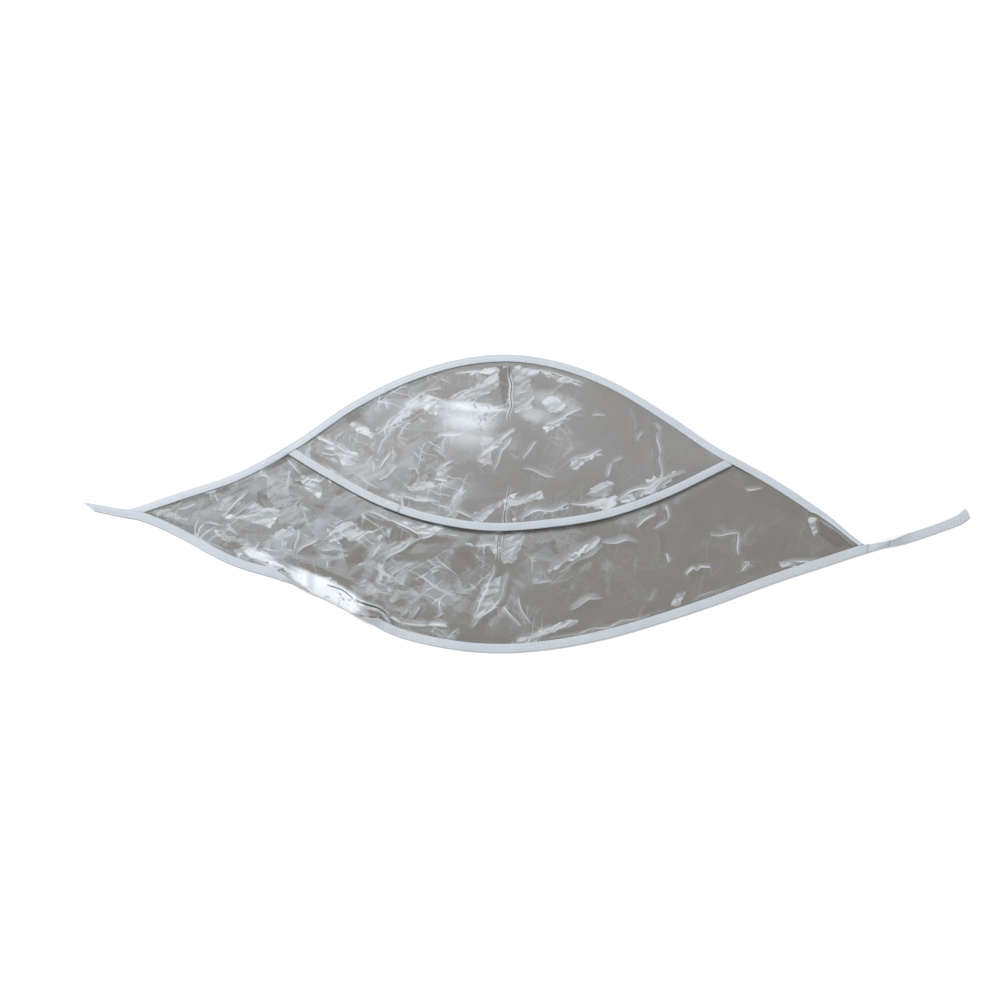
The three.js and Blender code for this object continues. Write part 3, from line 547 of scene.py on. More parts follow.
def fold_heights(x, y, folds, cracks=()):
    """Height of the folds in a table, and what the film's material draws along their crests. Each fold is a
    tent along a segment, bent by slow noise: its sides fall straight to nothing at the half width, and it
    narrows and sinks to a point at both ends. The crest that counts most at a point gives it the distance to
    that crest in mm, with a sign for the side it is on, its whiteness, which is partly whitened film and
    partly a painted highlight, and 1 if it is a crack, which gets painted shade in its gap."""
    bent_x = x + 1.3 * MM * soft_noise(x, y, 26 * MM, 91)
    bent_y = y + 1.3 * MM * soft_noise(x, y, 26 * MM, 92)
    height = np.zeros(np.broadcast(x, y).shape)
    white, most, split = np.zeros_like(height), np.zeros_like(height), np.zeros_like(height)
    off_crest = np.full_like(height, 9.0)
    for number, (ax, ay, bx, by, *fold, pale) in enumerate([*folds, *cracks]):
        ax, ay, bx, by, rise, reach = (v * MM for v in (ax, ay, bx, by, *(fold or FINE_FOLD)))
        length = np.hypot(bx - ax, by - ay)
        along = ((bent_x - ax) * (bx - ax) + (bent_y - ay) * (by - ay)) / length**2
        aside = ((bent_y - ay) * (bx - ax) - (bent_x - ax) * (by - ay)) / length
        held = np.clip(along, 0, 1)
        off = np.hypot(bent_x - mix(ax, bx, held), bent_y - mix(ay, by, held))
        spindle = np.sqrt(np.clip(4 * held * (1 - held), 0, 1))
        height += rise * spindle * np.clip(1 - off / (reach * np.maximum(spindle, 0.15)), 0, 1)
        counts = (pale + 0.05) * spindle * np.clip(1.5 - off / (5 * MM), 0, 1)
        nearest = counts > most
        most = np.where(nearest, counts, most)
        off_crest = np.where(nearest, np.where(aside < 0, -off, off) / MM, off_crest)
        white = np.where(nearest, pale * spindle * np.clip(2.4 - off / (2.5 * MM), 0, 1), white)
        split = np.where(nearest, float(number >= len(folds)), split)
    return height, off_crest, white, split


def shard_places(x, y, shards):
    """How far each point lies outside the nearest shard, in mm and negative inside it, and that shard's
    whiteness. The distance is the greatest of those to the lines through a shard's sides."""
    outside, white = np.full(np.broadcast(x, y).shape, 9.0), np.zeros(np.broadcast(x, y).shape)
    for pale, corners in shards:
        corners = np.array(corners, float)
        middle = corners.mean(axis=0)
        far = np.full_like(outside, -99.0)
        for a, b in zip(corners, np.roll(corners, -1, axis=0)):
            along = (b - a) / np.hypot(*(b - a))
            side = (x / MM - a[0]) * along[1] - (y / MM - a[1]) * along[0]
            inner = (middle[0] - a[0]) * along[1] - (middle[1] - a[1]) * along[0]
            far = np.maximum(far, -side if inner > 0 else side)
        nearest = far < outside
        outside = np.where(nearest, far, outside)
        white = np.where(nearest, pale, white)
    return outside, white


def glare(x, y, row):
    """Painted highlight, a soft white glare: from x, y, to x, y and half width in mm, whiteness. It is an
    ellipse, even in its inner third, and fades out to its rim."""
    ax, ay, bx, by, reach = (v * MM for v in row[:5])
    length = np.hypot(bx - ax, by - ay)
    along = ((x - ax) * (bx - ax) + (y - ay) * (by - ay)) / length**2
    aside = ((y - ay) * (bx - ax) - (x - ax) * (by - ay)) / length
    return row[5] * (1 - smooth(1.5 * np.hypot(2 * along - 1, aside / reach) - 0.5))


def left_share(x):
    """How crinkled the film is along x: 1 on the left, where it was folded up, and weak on the right."""
    return mix(RIGHT_CRINKLE, 1, 1 - smooth((x - CRINKLE_FADE[0]) / CRINKLE_FADE[1]))


def random_folds(count, box, seed):
    """A table of short folds in seeded places and directions, more of them where the film is more
    crinkled."""
    rng = np.random.default_rng(seed)
    rows = []
    while len(rows) < count:
        x, y = rng.uniform(box[0], box[1]), rng.uniform(box[2], box[3])
        if rng.uniform() > left_share(x * MM):
            continue
        turn, length = rng.uniform(0, pi), rng.uniform(*RANDOM_LENGTH)
        dx, dy = cos(turn) * length / 2, sin(turn) * length / 2
        rise, reach = rng.uniform(*RANDOM_RISE), rng.uniform(*RANDOM_REACH)
        rows.append((x - dx, y - dy, x + dx, y + dy, rise, reach, rng.uniform(0, RANDOM_WHITE) ** 2))
    return rows


def film_relief(x, y, folds, cracks, seed, sizes):
    """Height of crinkled film in plan, from slow waves, facets and folds, and what its crests look like."""
    height = sizes.crinkle * left_share(x) * crumple(x, y, FACET_SIZE, seed)
    height = height + WAVE_RISE * soft_noise(x, y, WAVE_SIZE, seed + 800)
    ridge, *crests = fold_heights(x, y, folds, cracks)
    return height + FOLD_SHARE * ridge, crests


def sheet_lift(pattern, x, y):
    """Height of the sheet's middle surface above its height inside the tapes, and what its crests look
    like."""
    seed = pattern.sizes.seed
    extra = random_folds(*SHEET_RANDOM, seed + 5)
    relief, crests = film_relief(x, y, SHEET_FOLDS + extra, SHEET_CRACKS, seed + 1, pattern.sizes)
    quiet = 1 - 0.85 * pattern.near_hem(x, y)
    lift = (relief + 0.5 * MM) * pattern.clear_of_joints(x, y) * quiet
    return np.maximum(lift, 0), crests


def new_mesh(name, points, faces, smooth_angle=None):
    """An object with its mesh in the frame's own place: points in metres from the midpoint of the
    corners."""
    mesh = bpy.data.meshes.new(name)
    moved = points - np.array([ORIGIN[0], ORIGIN[1], 0])
    mesh.from_pydata(moved.tolist(), [], [list(face) for face in faces])
    mesh.polygons.foreach_set("use_smooth", np.ones(len(mesh.polygons), bool))
    mesh.update()
    if smooth_angle is not None:
        mesh.set_sharp_from_angle(angle=smooth_angle)
    piece = bpy.data.objects.new(name, mesh)
    bpy.context.scene.collection.objects.link(piece)
    return piece


def grid_faces(columns, rows, around=False):
    """The quads of a grid of points that is stored column by column. around joins the last row to the
    first."""
    last = rows if around else rows - 1
    i, j = np.meshgrid(np.arange(columns - 1), np.arange(last), indexing="ij")
    k = (j + 1) % rows
    quads = np.stack([i * rows + j, (i + 1) * rows + j, (i + 1) * rows + k, i * rows + k], axis=-1)
    return quads.reshape(-1, 4)


def set_attribute(piece, name, kind, values):
    attribute = piece.data.attributes.new(name, kind, "POINT")
    field = "vector" if kind == "FLOAT_VECTOR" else "value"
    attribute.data.foreach_set(field, np.ascontiguousarray(values, np.float32).ravel())


def dress(piece, node, material):
    """Puts the material on the piece, lets it stand for its CAD node and ride with the bonnet."""
    piece.data.materials.append(material)
    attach(piece, "root")
    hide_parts(node)


def film_piece(name, points, look, sizes):
    """A closed wall of film about a grid of middle points. look holds, at each of them, the distance to the
    nearest crest in mm, its whiteness, whether it is a crack, the painted glare, how crinkled it is, the
    distance to the nearest shard in mm, and that shard's whiteness."""
    columns, rows = points.shape[:2]
    piece = new_mesh(name, points.reshape(-1, 3), grid_faces(columns, rows))
    off_crest, white, split, painted_glare, crinkled, off_shard, shard_white = look
    set_attribute(piece, "crease", "FLOAT_VECTOR", np.stack([off_crest, white, split], axis=-1))
    set_attribute(piece, "shard", "FLOAT_VECTOR", np.stack([off_shard, shard_white, painted_glare], axis=-1))
    set_attribute(piece, "crinkled", "FLOAT", crinkled)
    wall = piece.modifiers.new("film wall", "SOLIDIFY")
    wall.thickness = sizes.film
    wall.offset = 0
    wall.use_even_offset = False
    return piece


def rolled(inward, height, turn, stack, width):
    """A point of a tape's section, turned up about its outer edge and kept inside the outline and above the
    floor. The point is turned by the angle, then moved in and up by as much as the section would stand
    out."""
    over = np.maximum(0, -np.cos(turn))
    return (
        inward * np.cos(turn) - height * np.sin(turn) + stack * np.sin(turn) + width * over,
        inward * np.sin(turn) + height * np.cos(turn) + stack * over,
    )


def bezier(a, b, c, d, t):
    return a * (1 - t) ** 3 + 3 * b * t * (1 - t) ** 2 + 3 * c * t * t * (1 - t) + d * t**3


def sheet_points(pattern):
    """Middle surface of the sheet. Each column starts in the lower tape, leaves it in the direction in which
    the tape is turned, rolls over onto the floor along a cubic arch, and runs up to the top tape."""
    u = np.linspace(0, 1, SHEET_COLUMNS)[:, None]
    x = mix(pattern.sheet_left, pattern.sheet_right, u - 0.22 * np.sin(pi * u) / pi)
    low, low_stretch = pattern.lower.y(x), pattern.lower.stretch(x)
    width, turn = pattern.lower_width(x), pattern.turn(x)
    room = pattern.sheet_room(x) + pattern.sizes.tape_width
    squeeze = np.minimum(1, room / (3 * pattern.mouth + ROLL_REACH) / low_stretch)
    mouth = mix(pattern.seam, width + LIP_GAP, squeeze)
    reach = ROLL_REACH * squeeze
    n0, z0 = rolled(pattern.seam, pattern.sheet_z, turn, pattern.single, width)
    n1, z1 = rolled(mouth, pattern.sheet_z, turn, pattern.single, width)
    end = mouth + reach
    t = np.linspace(0, 1, ARCH_ROWS)[None, :]
    over = ROLL_RISE * np.maximum(0, -np.cos(turn))
    n = bezier(n1, n1 + 0.12 * reach * np.cos(turn), end - 0.4 * reach, end, t)
    rest = pattern.sheet_z + 0 * end
    z = bezier(z1, z1 + 0.3 * reach * np.sin(turn) + over, rest + over, rest, t)
    wrinkle = crumple(x + 0 * n, 0.6 * n, 9 * MM, pattern.sizes.seed + 60) * np.sin(turn) * smooth(4 * t)
    z = z + 0.22 * wrinkle * smooth(4 * (1 - t))
    arch_y = low + n * low_stretch
    start = low + end * low_stretch
    stop = pattern.top.line(x, mouth)
    v = np.linspace(0, 1, SHEET_ROWS)[None, 1:]
    y = mix(start, stop, v)
    flat_z = pattern.sheet_z + 0 * y
    ys = np.concatenate([low + n0 * low_stretch, arch_y, y, pattern.top.line(x, pattern.seam)], axis=1)
    zs = np.concatenate([z0, z, flat_z, pattern.sheet_z + 0 * x], axis=1)
    xs = x + 0 * ys
    lift, (off_crest, white, split) = sheet_lift(pattern, xs, ys)
    turned = smooth(np.degrees(turn) / 12) * (1 - smooth((ys - arch_y[:, -1:]) / (6 * MM)))
    from_low = (ys - pattern.lower.line(x, mouth)) / low_stretch
    from_top = (stop - ys) / pattern.top.stretch(x)
    margin = strip(from_low, from_top, SHEET_MARGIN) * (1 - turned)
    inner = strip(from_low, from_top, SINK_RUN) * (1 - turned)
    sunk = inner * (pattern.sheet_z - 0.3 * MM)
    roll, roll_off, roll_white, roll_split = fold_heights(xs, ys, ROLL_FOLDS, ROLL_CRACKS)
    held = smooth(from_low / ROLL_MARGIN)
    on_roll = roll_white > white * (1 - turned)
    off_crest = np.where(on_roll, 0.6 * roll_off, off_crest)
    white = np.where(on_roll, roll_white, white * (1 - turned))
    split = np.where(on_roll, roll_split, split)
    # The band over the roll is painted nearly white, a painted highlight on the rolled edge.
    from_x, to_x, depth = ROLL_BAND
    band = smooth((xs - from_x) / (14 * MM)) * smooth((to_x - xs) / (16 * MM))
    painted_glare = band * (1 - smooth((ys - low - depth) / (4 * MM)))
    # The SHEET_GLARE rows add soft painted highlights.
    for row in SHEET_GLARE:
        painted_glare = np.maximum(painted_glare, glare(xs, ys, row))
    look = (off_crest, white, split, painted_glare, left_share(xs), *shard_places(xs, ys, SHEET_SHARDS))
    return np.stack([xs, ys, zs - sunk + lift * margin + roll * held], axis=-1), look


def flap_points(pattern):
    """Middle surface of the flap: it runs from the hem's tape to the top tape over a low dome, and stays
    clear of the sheet below it."""
    sizes = pattern.sizes
    x = np.linspace(pattern.flap_left, pattern.flap_right, FLAP_COLUMNS)[:, None]
    room = pattern.flap_room(x) + 2 * MM
    squeeze = np.minimum(1, room / (3 * pattern.mouth) / pattern.hem.stretch(x))
    mouth = mix(pattern.seam, pattern.mouth, squeeze)
    start, stop = pattern.hem.line(x, mouth), pattern.top.line(x, mouth)
    t = np.linspace(0, 1, FLAP_ROWS)[None, :]
    y = mix(start, stop, t)
    low_z, high_z = pattern.hem_z(x), pattern.flap_top_z(x)
    extra = random_folds(*FLAP_RANDOM, sizes.seed + 9)
    relief, crests = film_relief(x + 0 * y, y, FLAP_FOLDS + extra, FLAP_CRACKS, sizes.seed + 3, sizes)
    margin = strip(y - start, stop - y, FLAP_MARGIN) * pattern.clear_of_joints(x, y)
    dome = sizes.dome_rise * 4 * t * (1 - t) * pattern.arch(x)
    bulge_x, bulge_y, half_width, half_depth, bulge_rise = (v * MM for v in FLAP_BULGE)
    away = np.hypot((x - bulge_x) / half_width, (y - bulge_y) / half_depth)
    bulge = bulge_rise * np.clip(1 - away**2, 0, 1) ** 2
    rough = smooth((away - 0.55) / 0.4)
    crinkles = (relief * mix(0.12, 1, rough) + 0.6 * MM) * margin
    z = mix(low_z, high_z, smooth(t)) + dome + bulge + crinkles
    below = FLAP_GAP + sheet_lift(pattern, x + 0 * y, y)[0]
    free = strip(y - start, stop - y, FREE_RUN)
    z = np.maximum(z, mix(z, below + sizes.film + 2 * sizes.clearance, free))
    painted_glare = 0 * y
    # The FLAP_GLARE rows paint the soft highlight on the flap's swelling and beside it.
    for row in FLAP_GLARE:
        painted_glare = np.minimum(painted_glare + glare(x, y, row), 1)
    ys = np.concatenate([pattern.hem.line(x, pattern.seam), y, pattern.top.line(x, pattern.seam)], axis=1)
    zs = np.concatenate([low_z, z, high_z], axis=1)
    crinkled = left_share(x + 0 * y) * mix(0.1, 1, rough)
    look = (*crests, painted_glare, crinkled, *shard_places(x + 0 * y, y, FLAP_SHARDS))
    look = tuple(np.concatenate([part[:, :1], part, part[:, -1:]], axis=1) for part in look)
    return np.stack([x + 0 * ys, ys, zs], axis=-1), look


def folded_section(width, stack, wall, slot, arc):
    """Section of a tape folded over an edge, as inward distance and height for each station along it: round
    the fold, along the top, back under the upper layer, out along the lower layer, and along the bottom. The
    top is a low pillow with a groove along the stitches, which pulls down a little at each stitch."""
    bend = np.linspace(-pi / 2, pi / 2, 7)[None, :]
    fold_n = 0.7 * MM * (1 - np.cos(bend)) + 0 * width
    fold_z = 0.6 * stack / 2 * (1 + np.sin(bend))
    share = np.linspace(0.16, 0.97, TOP_POINTS)[None, :]
    pull = 0.5 + 0.5 * np.cos(arc * tau / STITCH_PITCH)
    groove = np.exp(-(((share - STITCH_SHARE) / 0.07) ** 2)) * (0.2 + 0.12 * pull)
    pillow = 0.12 * np.sin(pi * share) - groove - 0.14 * smooth((share - 0.9) / 0.07)
    ripple = 0.08 * soft_noise(arc + 0 * share, share * 4 * MM, 9 * MM, 71) * share
    wedge = mix(0.6, 1.0, smooth(share / 0.9)) * stack
    top_n, top_z = share * width, wedge + (pillow + ripple) * MM
    lip_n = np.concatenate([width, width - 0.12 * MM, slot], axis=1)
    lip_z = np.concatenate([stack - wall / 2, stack - wall, stack - wall], axis=1)
    low_n = np.concatenate([slot, width - 0.12 * MM, width, width - 0.15 * MM, width / 2], axis=1)
    low_z = np.concatenate([wall, wall, wall / 2, 0 * wall, 0 * wall], axis=1)
    return (
        np.concatenate([fold_n, top_n, lip_n, low_n], axis=1),
        np.concatenate([fold_z, top_z, lip_z, low_z], axis=1),
    )


class Tape:
    """A folded tape along an edge. left and right give the x at which the line at an inward distance ends.
    width, stack, slot, base and turn are functions of x, and marks are the x in mm where the tape laps
    over, where its material paints a shadow line."""

    def __init__(self, pattern, edge, left, right, width, stack, slot, base=None, turn=None, marks=()):
        self.edge = edge
        self.marks = marks
        self.wall = pattern.sizes.tape_wall
        self.width, self.stack, self.slot = width, stack, slot
        self.base = base or (lambda x: 0 * x)
        self.turn = turn or (lambda x: 0 * x)
        span = right(0.0) - left(0.0)
        self.t = np.linspace(0, 1, int(span / TAPE_STEP))[:, None]
        self.left, self.right = left, right
        x = mix(left(0.0), right(0.0), self.t)
        run = np.hypot(np.diff(x[:, 0]), np.diff(edge.y(x)[:, 0]))
        self.arc = np.concatenate([[0], np.cumsum(run)])[:, None]

    def section(self, x):
        wall = self.wall + 0 * x
        return folded_section(self.width(x), self.stack(x), wall, self.slot(x), self.arc)

    def place(self, x, inward, height):
        """Points in space for points of the section at each station."""
        own_x = x + 0 * inward
        n, z = rolled(inward, height, self.turn(own_x), self.stack(own_x), self.width(own_x))
        return np.stack([own_x, self.edge.line(own_x, n), np.maximum(z + self.base(own_x), 0)], axis=-1)

    def points(self):
        """Points in space, and what the tape's material reads at each: how far along and in from the edge it
        lies, and 1 on the line where the tape laps over itself, where the material paints a shadow line."""
        middle = mix(self.left(0.0), self.right(0.0), self.t)
        inward, height = self.section(middle)
        first = np.array([[self.left(float(n)) for n in inward[0]]])
        last = np.array([[self.right(float(n)) for n in inward[-1]]])
        x = mix(first, last, self.t)
        lap_shadow = 0 * inward
        for mark in self.marks:
            off = np.abs(x - 0.2 * inward - mark * MM)
            lap_shadow = np.maximum(lap_shadow, np.clip(2 - off / (0.45 * MM), 0, 1))
        return self.place(x, inward, height), np.stack([self.arc + 0 * inward, inward, lap_shadow], axis=-1)

    def stitch_places(self):
        """Middle, direction and upward direction of each stitch."""
        count = int(self.arc[-1, 0] / STITCH_PITCH) - 1
        at = (np.arange(count) + 1) * STITCH_PITCH
        inward = STITCH_SHARE * self.width(mix(self.left(0.0), self.right(0.0), 0.5))
        a, b = self.left(float(inward)), self.right(float(inward))
        x = mix(a, b, np.interp(at, self.arc[:, 0], self.t[:, 0]))[:, None]
        inward = STITCH_SHARE * self.width(x)
        height = self.stack(x) * 0.975
        here = self.place(x, inward, height)[:, 0]
        ahead = self.place(x + 0.5 * MM, inward, height)[:, 0] - here
        across = self.place(x, inward + 0.5 * MM, height)[:, 0] - here
        ahead /= np.linalg.norm(ahead, axis=1, keepdims=True)
        up = np.cross(ahead, across) * self.edge.side
        return here, ahead, up / np.linalg.norm(up, axis=1, keepdims=True)


def tape_piece(name, tape):
    """The bar through the sections of a tape, closed by a flat face at each end."""
    points, weave = tape.points()
    columns, rows = points.shape[:2]
    faces = [tuple(face) for face in grid_faces(columns, rows, around=True)]
    faces.append(tuple(range(rows - 1, -1, -1)))
    faces.append(tuple((columns - 1) * rows + np.arange(rows)))
    if tape.edge.side > 0:
        faces = [face[::-1] for face in faces]
    piece = new_mesh(name, points.reshape(-1, 3), faces, radians(50))
    set_attribute(piece, "weave", "FLOAT_VECTOR", weave)
    return piece


def stitch_piece(name, tape):
    """A row of stitches: each is a grain, round in section and tapered to both ends, that lies along the
    tape and sinks in at its ends."""
    here, ahead, up = tape.stitch_places()
    side = np.cross(up, ahead)
    s = np.linspace(-1, 1, STITCH_RINGS)
    girth = np.sqrt(1 - 0.98 * s**2)[:, None] * THREAD / 2
    angle = np.arange(STITCH_SIDES) * tau / STITCH_SIDES
    grain_side = girth * np.cos(angle)
    grain_up = girth * np.sin(angle) - (s[:, None] ** 2) * THREAD * 0.6
    grain_ahead = s[:, None] * STITCH_PITCH * 0.36 + 0 * angle
    parts = (here, ahead, up, side)
    here, ahead, up, side = (part[:, None, None, :] for part in parts)
    points = here + ahead * grain_ahead[..., None] + up * grain_up[..., None] + side * grain_side[..., None]
    points[..., 2] = np.maximum(points[..., 2], 0)
    count = len(points)
    one = grid_faces(STITCH_RINGS, STITCH_SIDES, around=True)
    ring = np.arange(STITCH_SIDES)
    caps = np.stack([ring[::-1], (STITCH_RINGS - 1) * STITCH_SIDES + ring])
    offset = np.arange(count)[:, None, None] * STITCH_RINGS * STITCH_SIDES
    faces = [tuple(face) for face in (one[None] + offset).reshape(-1, 4)]
    faces += [tuple(face) for face in (caps[None] + offset).reshape(-1, STITCH_SIDES)]
    faces = [face[::-1] for face in faces]
    return new_mesh(name, points.reshape(-1, 3), faces)


def tapes(pattern):
    """The three tapes, by the name of the piece."""
    sizes = pattern.sizes
    width = sizes.tape_width

    def under_top(x):
        return pattern.top.line(x, pattern.top_width(x) + HEM_GAP)

    def hem_end(side):
        return lambda n: crossing(lambda x: under_top(x) - pattern.hem.line(x, n), 0.0, side * HALF_SPAN)

    def above_lower(x):
        return pattern.lower.line(x, pattern.lower_width(x) + CORNER_GAP)

    def top_end(side):
        far = side * 1.2 * HALF_SPAN
        return lambda n: crossing(lambda x: pattern.top.line(x, n) - above_lower(x), 0.0, far)

    def tie_end(x, cut):
        return lambda n: x + cut * n / (width * float(pattern.lower_share(x)))

    def slot(x):
        return pattern.seam + 0 * x

    def tie_slot(x):
        return mix(pattern.seam, pattern.lower_width(x) - 0.8 * MM, pattern.lower_past(x))

    def lap(x):
        over = np.where((x > HEM_LAP[0] * MM) & (x < HEM_LAP[1] * MM), 1.0, 0.0)
        return pattern.single + LAP_RISE * over

    def hem_width(x):
        return HEM_SHARE * width + 0 * x

    def hem_base(x):
        return pattern.hem_z(x) - pattern.single / 2

    def tie_stack(x):
        return mix(pattern.single, pattern.sewn, pattern.lower_past(x))

    left_tip = tie_end(LOWER_EDGE[0][0] * MM, LEFT_CUT)
    right_tip = tie_end(LOWER_EDGE[-1][0] * MM, RIGHT_CUT)
    top = Tape(pattern, pattern.top, top_end(-1), top_end(1), pattern.top_width, pattern.top_stack, slot)
    hem = Tape(pattern, pattern.hem, hem_end(-1), hem_end(1), hem_width, lap, slot, hem_base,
               marks=HEM_LAP[1:])
    tie = Tape(pattern, pattern.lower, left_tip, right_tip, pattern.lower_width, tie_stack, tie_slot,
               turn=pattern.turn, marks=TIE_LAPS)
    return {"top_binding": top, "flap_hem_binding": hem, "tie_binding": tie}


class Nodes:
    """Short forms for adding and joining the nodes of one material."""

    def __init__(self, name):
        self.material = bpy.data.materials.new(name)
        self.material.use_nodes = True
        self.tree = self.material.node_tree
        self.tree.nodes.clear()
        output = self.tree.nodes.new("ShaderNodeOutputMaterial")
        self.shader = self.tree.nodes.new("ShaderNodeBsdfPrincipled")
        self.tree.links.new(self.shader.outputs[0], output.inputs[0])

    def add(self, kind, values=None, **settings):
        """A node with its settings. values are given by the socket's name or number: a number, or a link."""
        node = self.tree.nodes.new("ShaderNode" + kind)
        for key, value in settings.items():
            setattr(node, key, value)
        for key, value in (values or {}).items():
            self.put(node, key, value)
        return node

    def put(self, node, key, value):
        if isinstance(value, bpy.types.NodeSocket):
            self.tree.links.new(value, node.inputs[key])
        else:
            node.inputs[key].default_value = value

    def surface(self, values):
        for key, value in values.items():
            self.put(self.shader, key, value)

    def noise(self, place, scale, detail, **settings):
        values = {"Vector": place, "Scale": scale, "Detail": detail}
        return self.add("TexNoise", values, **settings).outputs["Fac"]

    def remap(self, value, low, high, to_low=0.0, to_high=1.0):
        node = self.add("MapRange", {"Value": value, 1: low, 2: high, 3: to_low, 4: to_high})
        return node.outputs[0]

    def chain(self, operation, values):
        """One value from several, by a sum of the given kind over two at a time."""
        total, *rest = values
        for value in rest:
            total = self.add("Math", {0: total, 1: value}, operation=operation).outputs[0]
        return total

    def times(self, *values):
        return self.chain("MULTIPLY", values)

    def plus(self, *values):
        return self.chain("ADD", values)

    def most(self, *values):
        return self.chain("MAXIMUM", values)

    def vectors(self, operation, a, b):
        return self.add("VectorMath", {0: a, 1: b}, operation=operation).outputs[0]

    def parts(self, attribute):
        """The three numbers that a piece's attribute holds."""
        stored = self.add("Attribute", attribute_name=attribute)
        return self.add("SeparateXYZ", {0: stored.outputs["Vector"]}).outputs

    def slanted(self, place, degrees, stretch):
        """The place in coordinates turned by the angle, in which a pattern comes out stretched."""
        settings = {"Vector": place, "Rotation": (0, 0, radians(degrees)), "Scale": stretch}
        return self.add("Mapping", settings, vector_type="TEXTURE").outputs[0]

    def bump(self, height, strength, distance):
        values = {"Strength": strength, "Distance": distance, "Height": height}
        return self.add("Bump", values).outputs[0]

    def size(self, a):
        return self.add("Math", {0: a}, operation="ABSOLUTE").outputs[0]

    def mixed(self, share, a, b):
        """Colour a where share is 0 and colour b where it is 1."""
        node = self.add("Mix", {0: share, 6: a, 7: b}, data_type="RGBA")
        return node.outputs[2]


def rgba(colour, share=1):
    """The given share of a colour, opaque."""
    return (*(share * c for c in colour), 1)


def facet_nodes(n, bent, where):
    """Flat facets at three sizes, long along a slant. Returns how clouded each is, partly the film's haze
    and partly a painted reflection, darker at its rim, the vector that tilts it, and a number of its own for
    each of the smallest."""
    clouds, tilts = [], []
    for degrees, scale, steepness, cloud in FACETS:
        slanted = n.slanted(bent, degrees, FACET_STRETCH)
        facet = n.add("TexVoronoi", {"Vector": slanted, "Scale": scale}, voronoi_dimensions="2D")
        own = n.add("SeparateColor", {0: facet.outputs["Color"]})
        edged = n.remap(facet.outputs["Distance"], 0.1, 0.6, 0.4, 1.0)
        clouds.append(n.times(n.remap(own.outputs[2], 0.5, 1.0, 0.0, cloud), edged))
        centred = n.vectors("SUBTRACT", facet.outputs["Color"], (0.5, 0.5, 0.5))
        tilts.append(n.vectors("MULTIPLY", centred, (2 * steepness, 2 * steepness, 0)))
    tilt = n.vectors("ADD", n.vectors("ADD", tilts[0], tilts[1]), tilts[2])
    tilt = n.add("VectorMath", {0: tilt, "Scale": where}, operation="SCALE").outputs[0]
    return n.times(n.most(*clouds), where), tilt, own.outputs[0]


def hair_nodes(n, bent):
    """Hair lines in three directions: where a stretched noise passes through one half. Their whiteness is
    partly the film's own and partly a painted glint.
    """
    hairs = []
    for degrees, scale in HAIRS:
        slanted = n.slanted(bent, degrees, HAIR_STRETCH)
        wave = n.noise(slanted, scale, 0.5, noise_dimensions="2D")
        hairs.append(n.remap(n.size(n.plus(wave, -0.5)), 0.007, 0.019, 1.0, 0.0))
    return hairs


def crest_nodes(n, off_crest, pale, split, fleck):
    """Whiteness along a crest, partly whitened film and partly painted highlight: a line, or two with a gap
    for a crack, and a painted highlight that fades softly down the crest's upper, lit side. Returns both,
    and the painted shade in the crack between its two lines."""
    off = n.size(off_crest)
    gap = n.times(n.remap(off, 1.3, 2.0, 1.0, 0.0), n.remap(off, 0.3, 0.6))
    line = n.add("Mix", {0: split, 2: n.remap(off, 0.3, 0.95, 1.0, 0.0), 3: gap}).outputs[0]
    lit_side = n.times(n.remap(off_crest, 0.25, 4.0, 0.4, 0.0), n.remap(off_crest, 0.0, 0.25), pale)
    crack_shade = n.times(n.remap(off, 0.25, 0.55, 1.0, 0.0), split, pale)
    return n.times(line, pale, fleck), lit_side, crack_shade


def shard_nodes(n, bent, off_shard, shard_pale, bend, grain, own, hairs):
    """Shards with ragged edges: how white each is, partly whitened film and partly painted highlight, broken
    up by streaks and hair lines, and how dark, a painted shade.
    """
    ragged = n.plus(n.times(grain, 5.0), n.times(bend, 16.0), off_shard)
    in_shard = n.remap(ragged, 10.3, 10.9, 1.0, 0.0)
    slanted = n.slanted(bent, 30, STREAK_STRETCH)
    streak = n.noise(slanted, 150.0, 2.0, noise_dimensions="2D")
    streaked = n.remap(streak, 0.4, 0.54, 0.35, 1.0)
    scratched = n.remap(n.most(hairs[0], hairs[1]), 0.0, 1.0, 1.0, 0.45)
    textured = n.times(n.remap(own, 0.0, 1.0, 0.75, 1.0), streaked, scratched)
    # Shards with whiteness below 0 get a painted shade.
    dark = n.remap(shard_pale, 0.0, -1.0, 0.0, 1.0)
    return n.times(in_shard, shard_pale, textured), n.times(in_shard, dark)


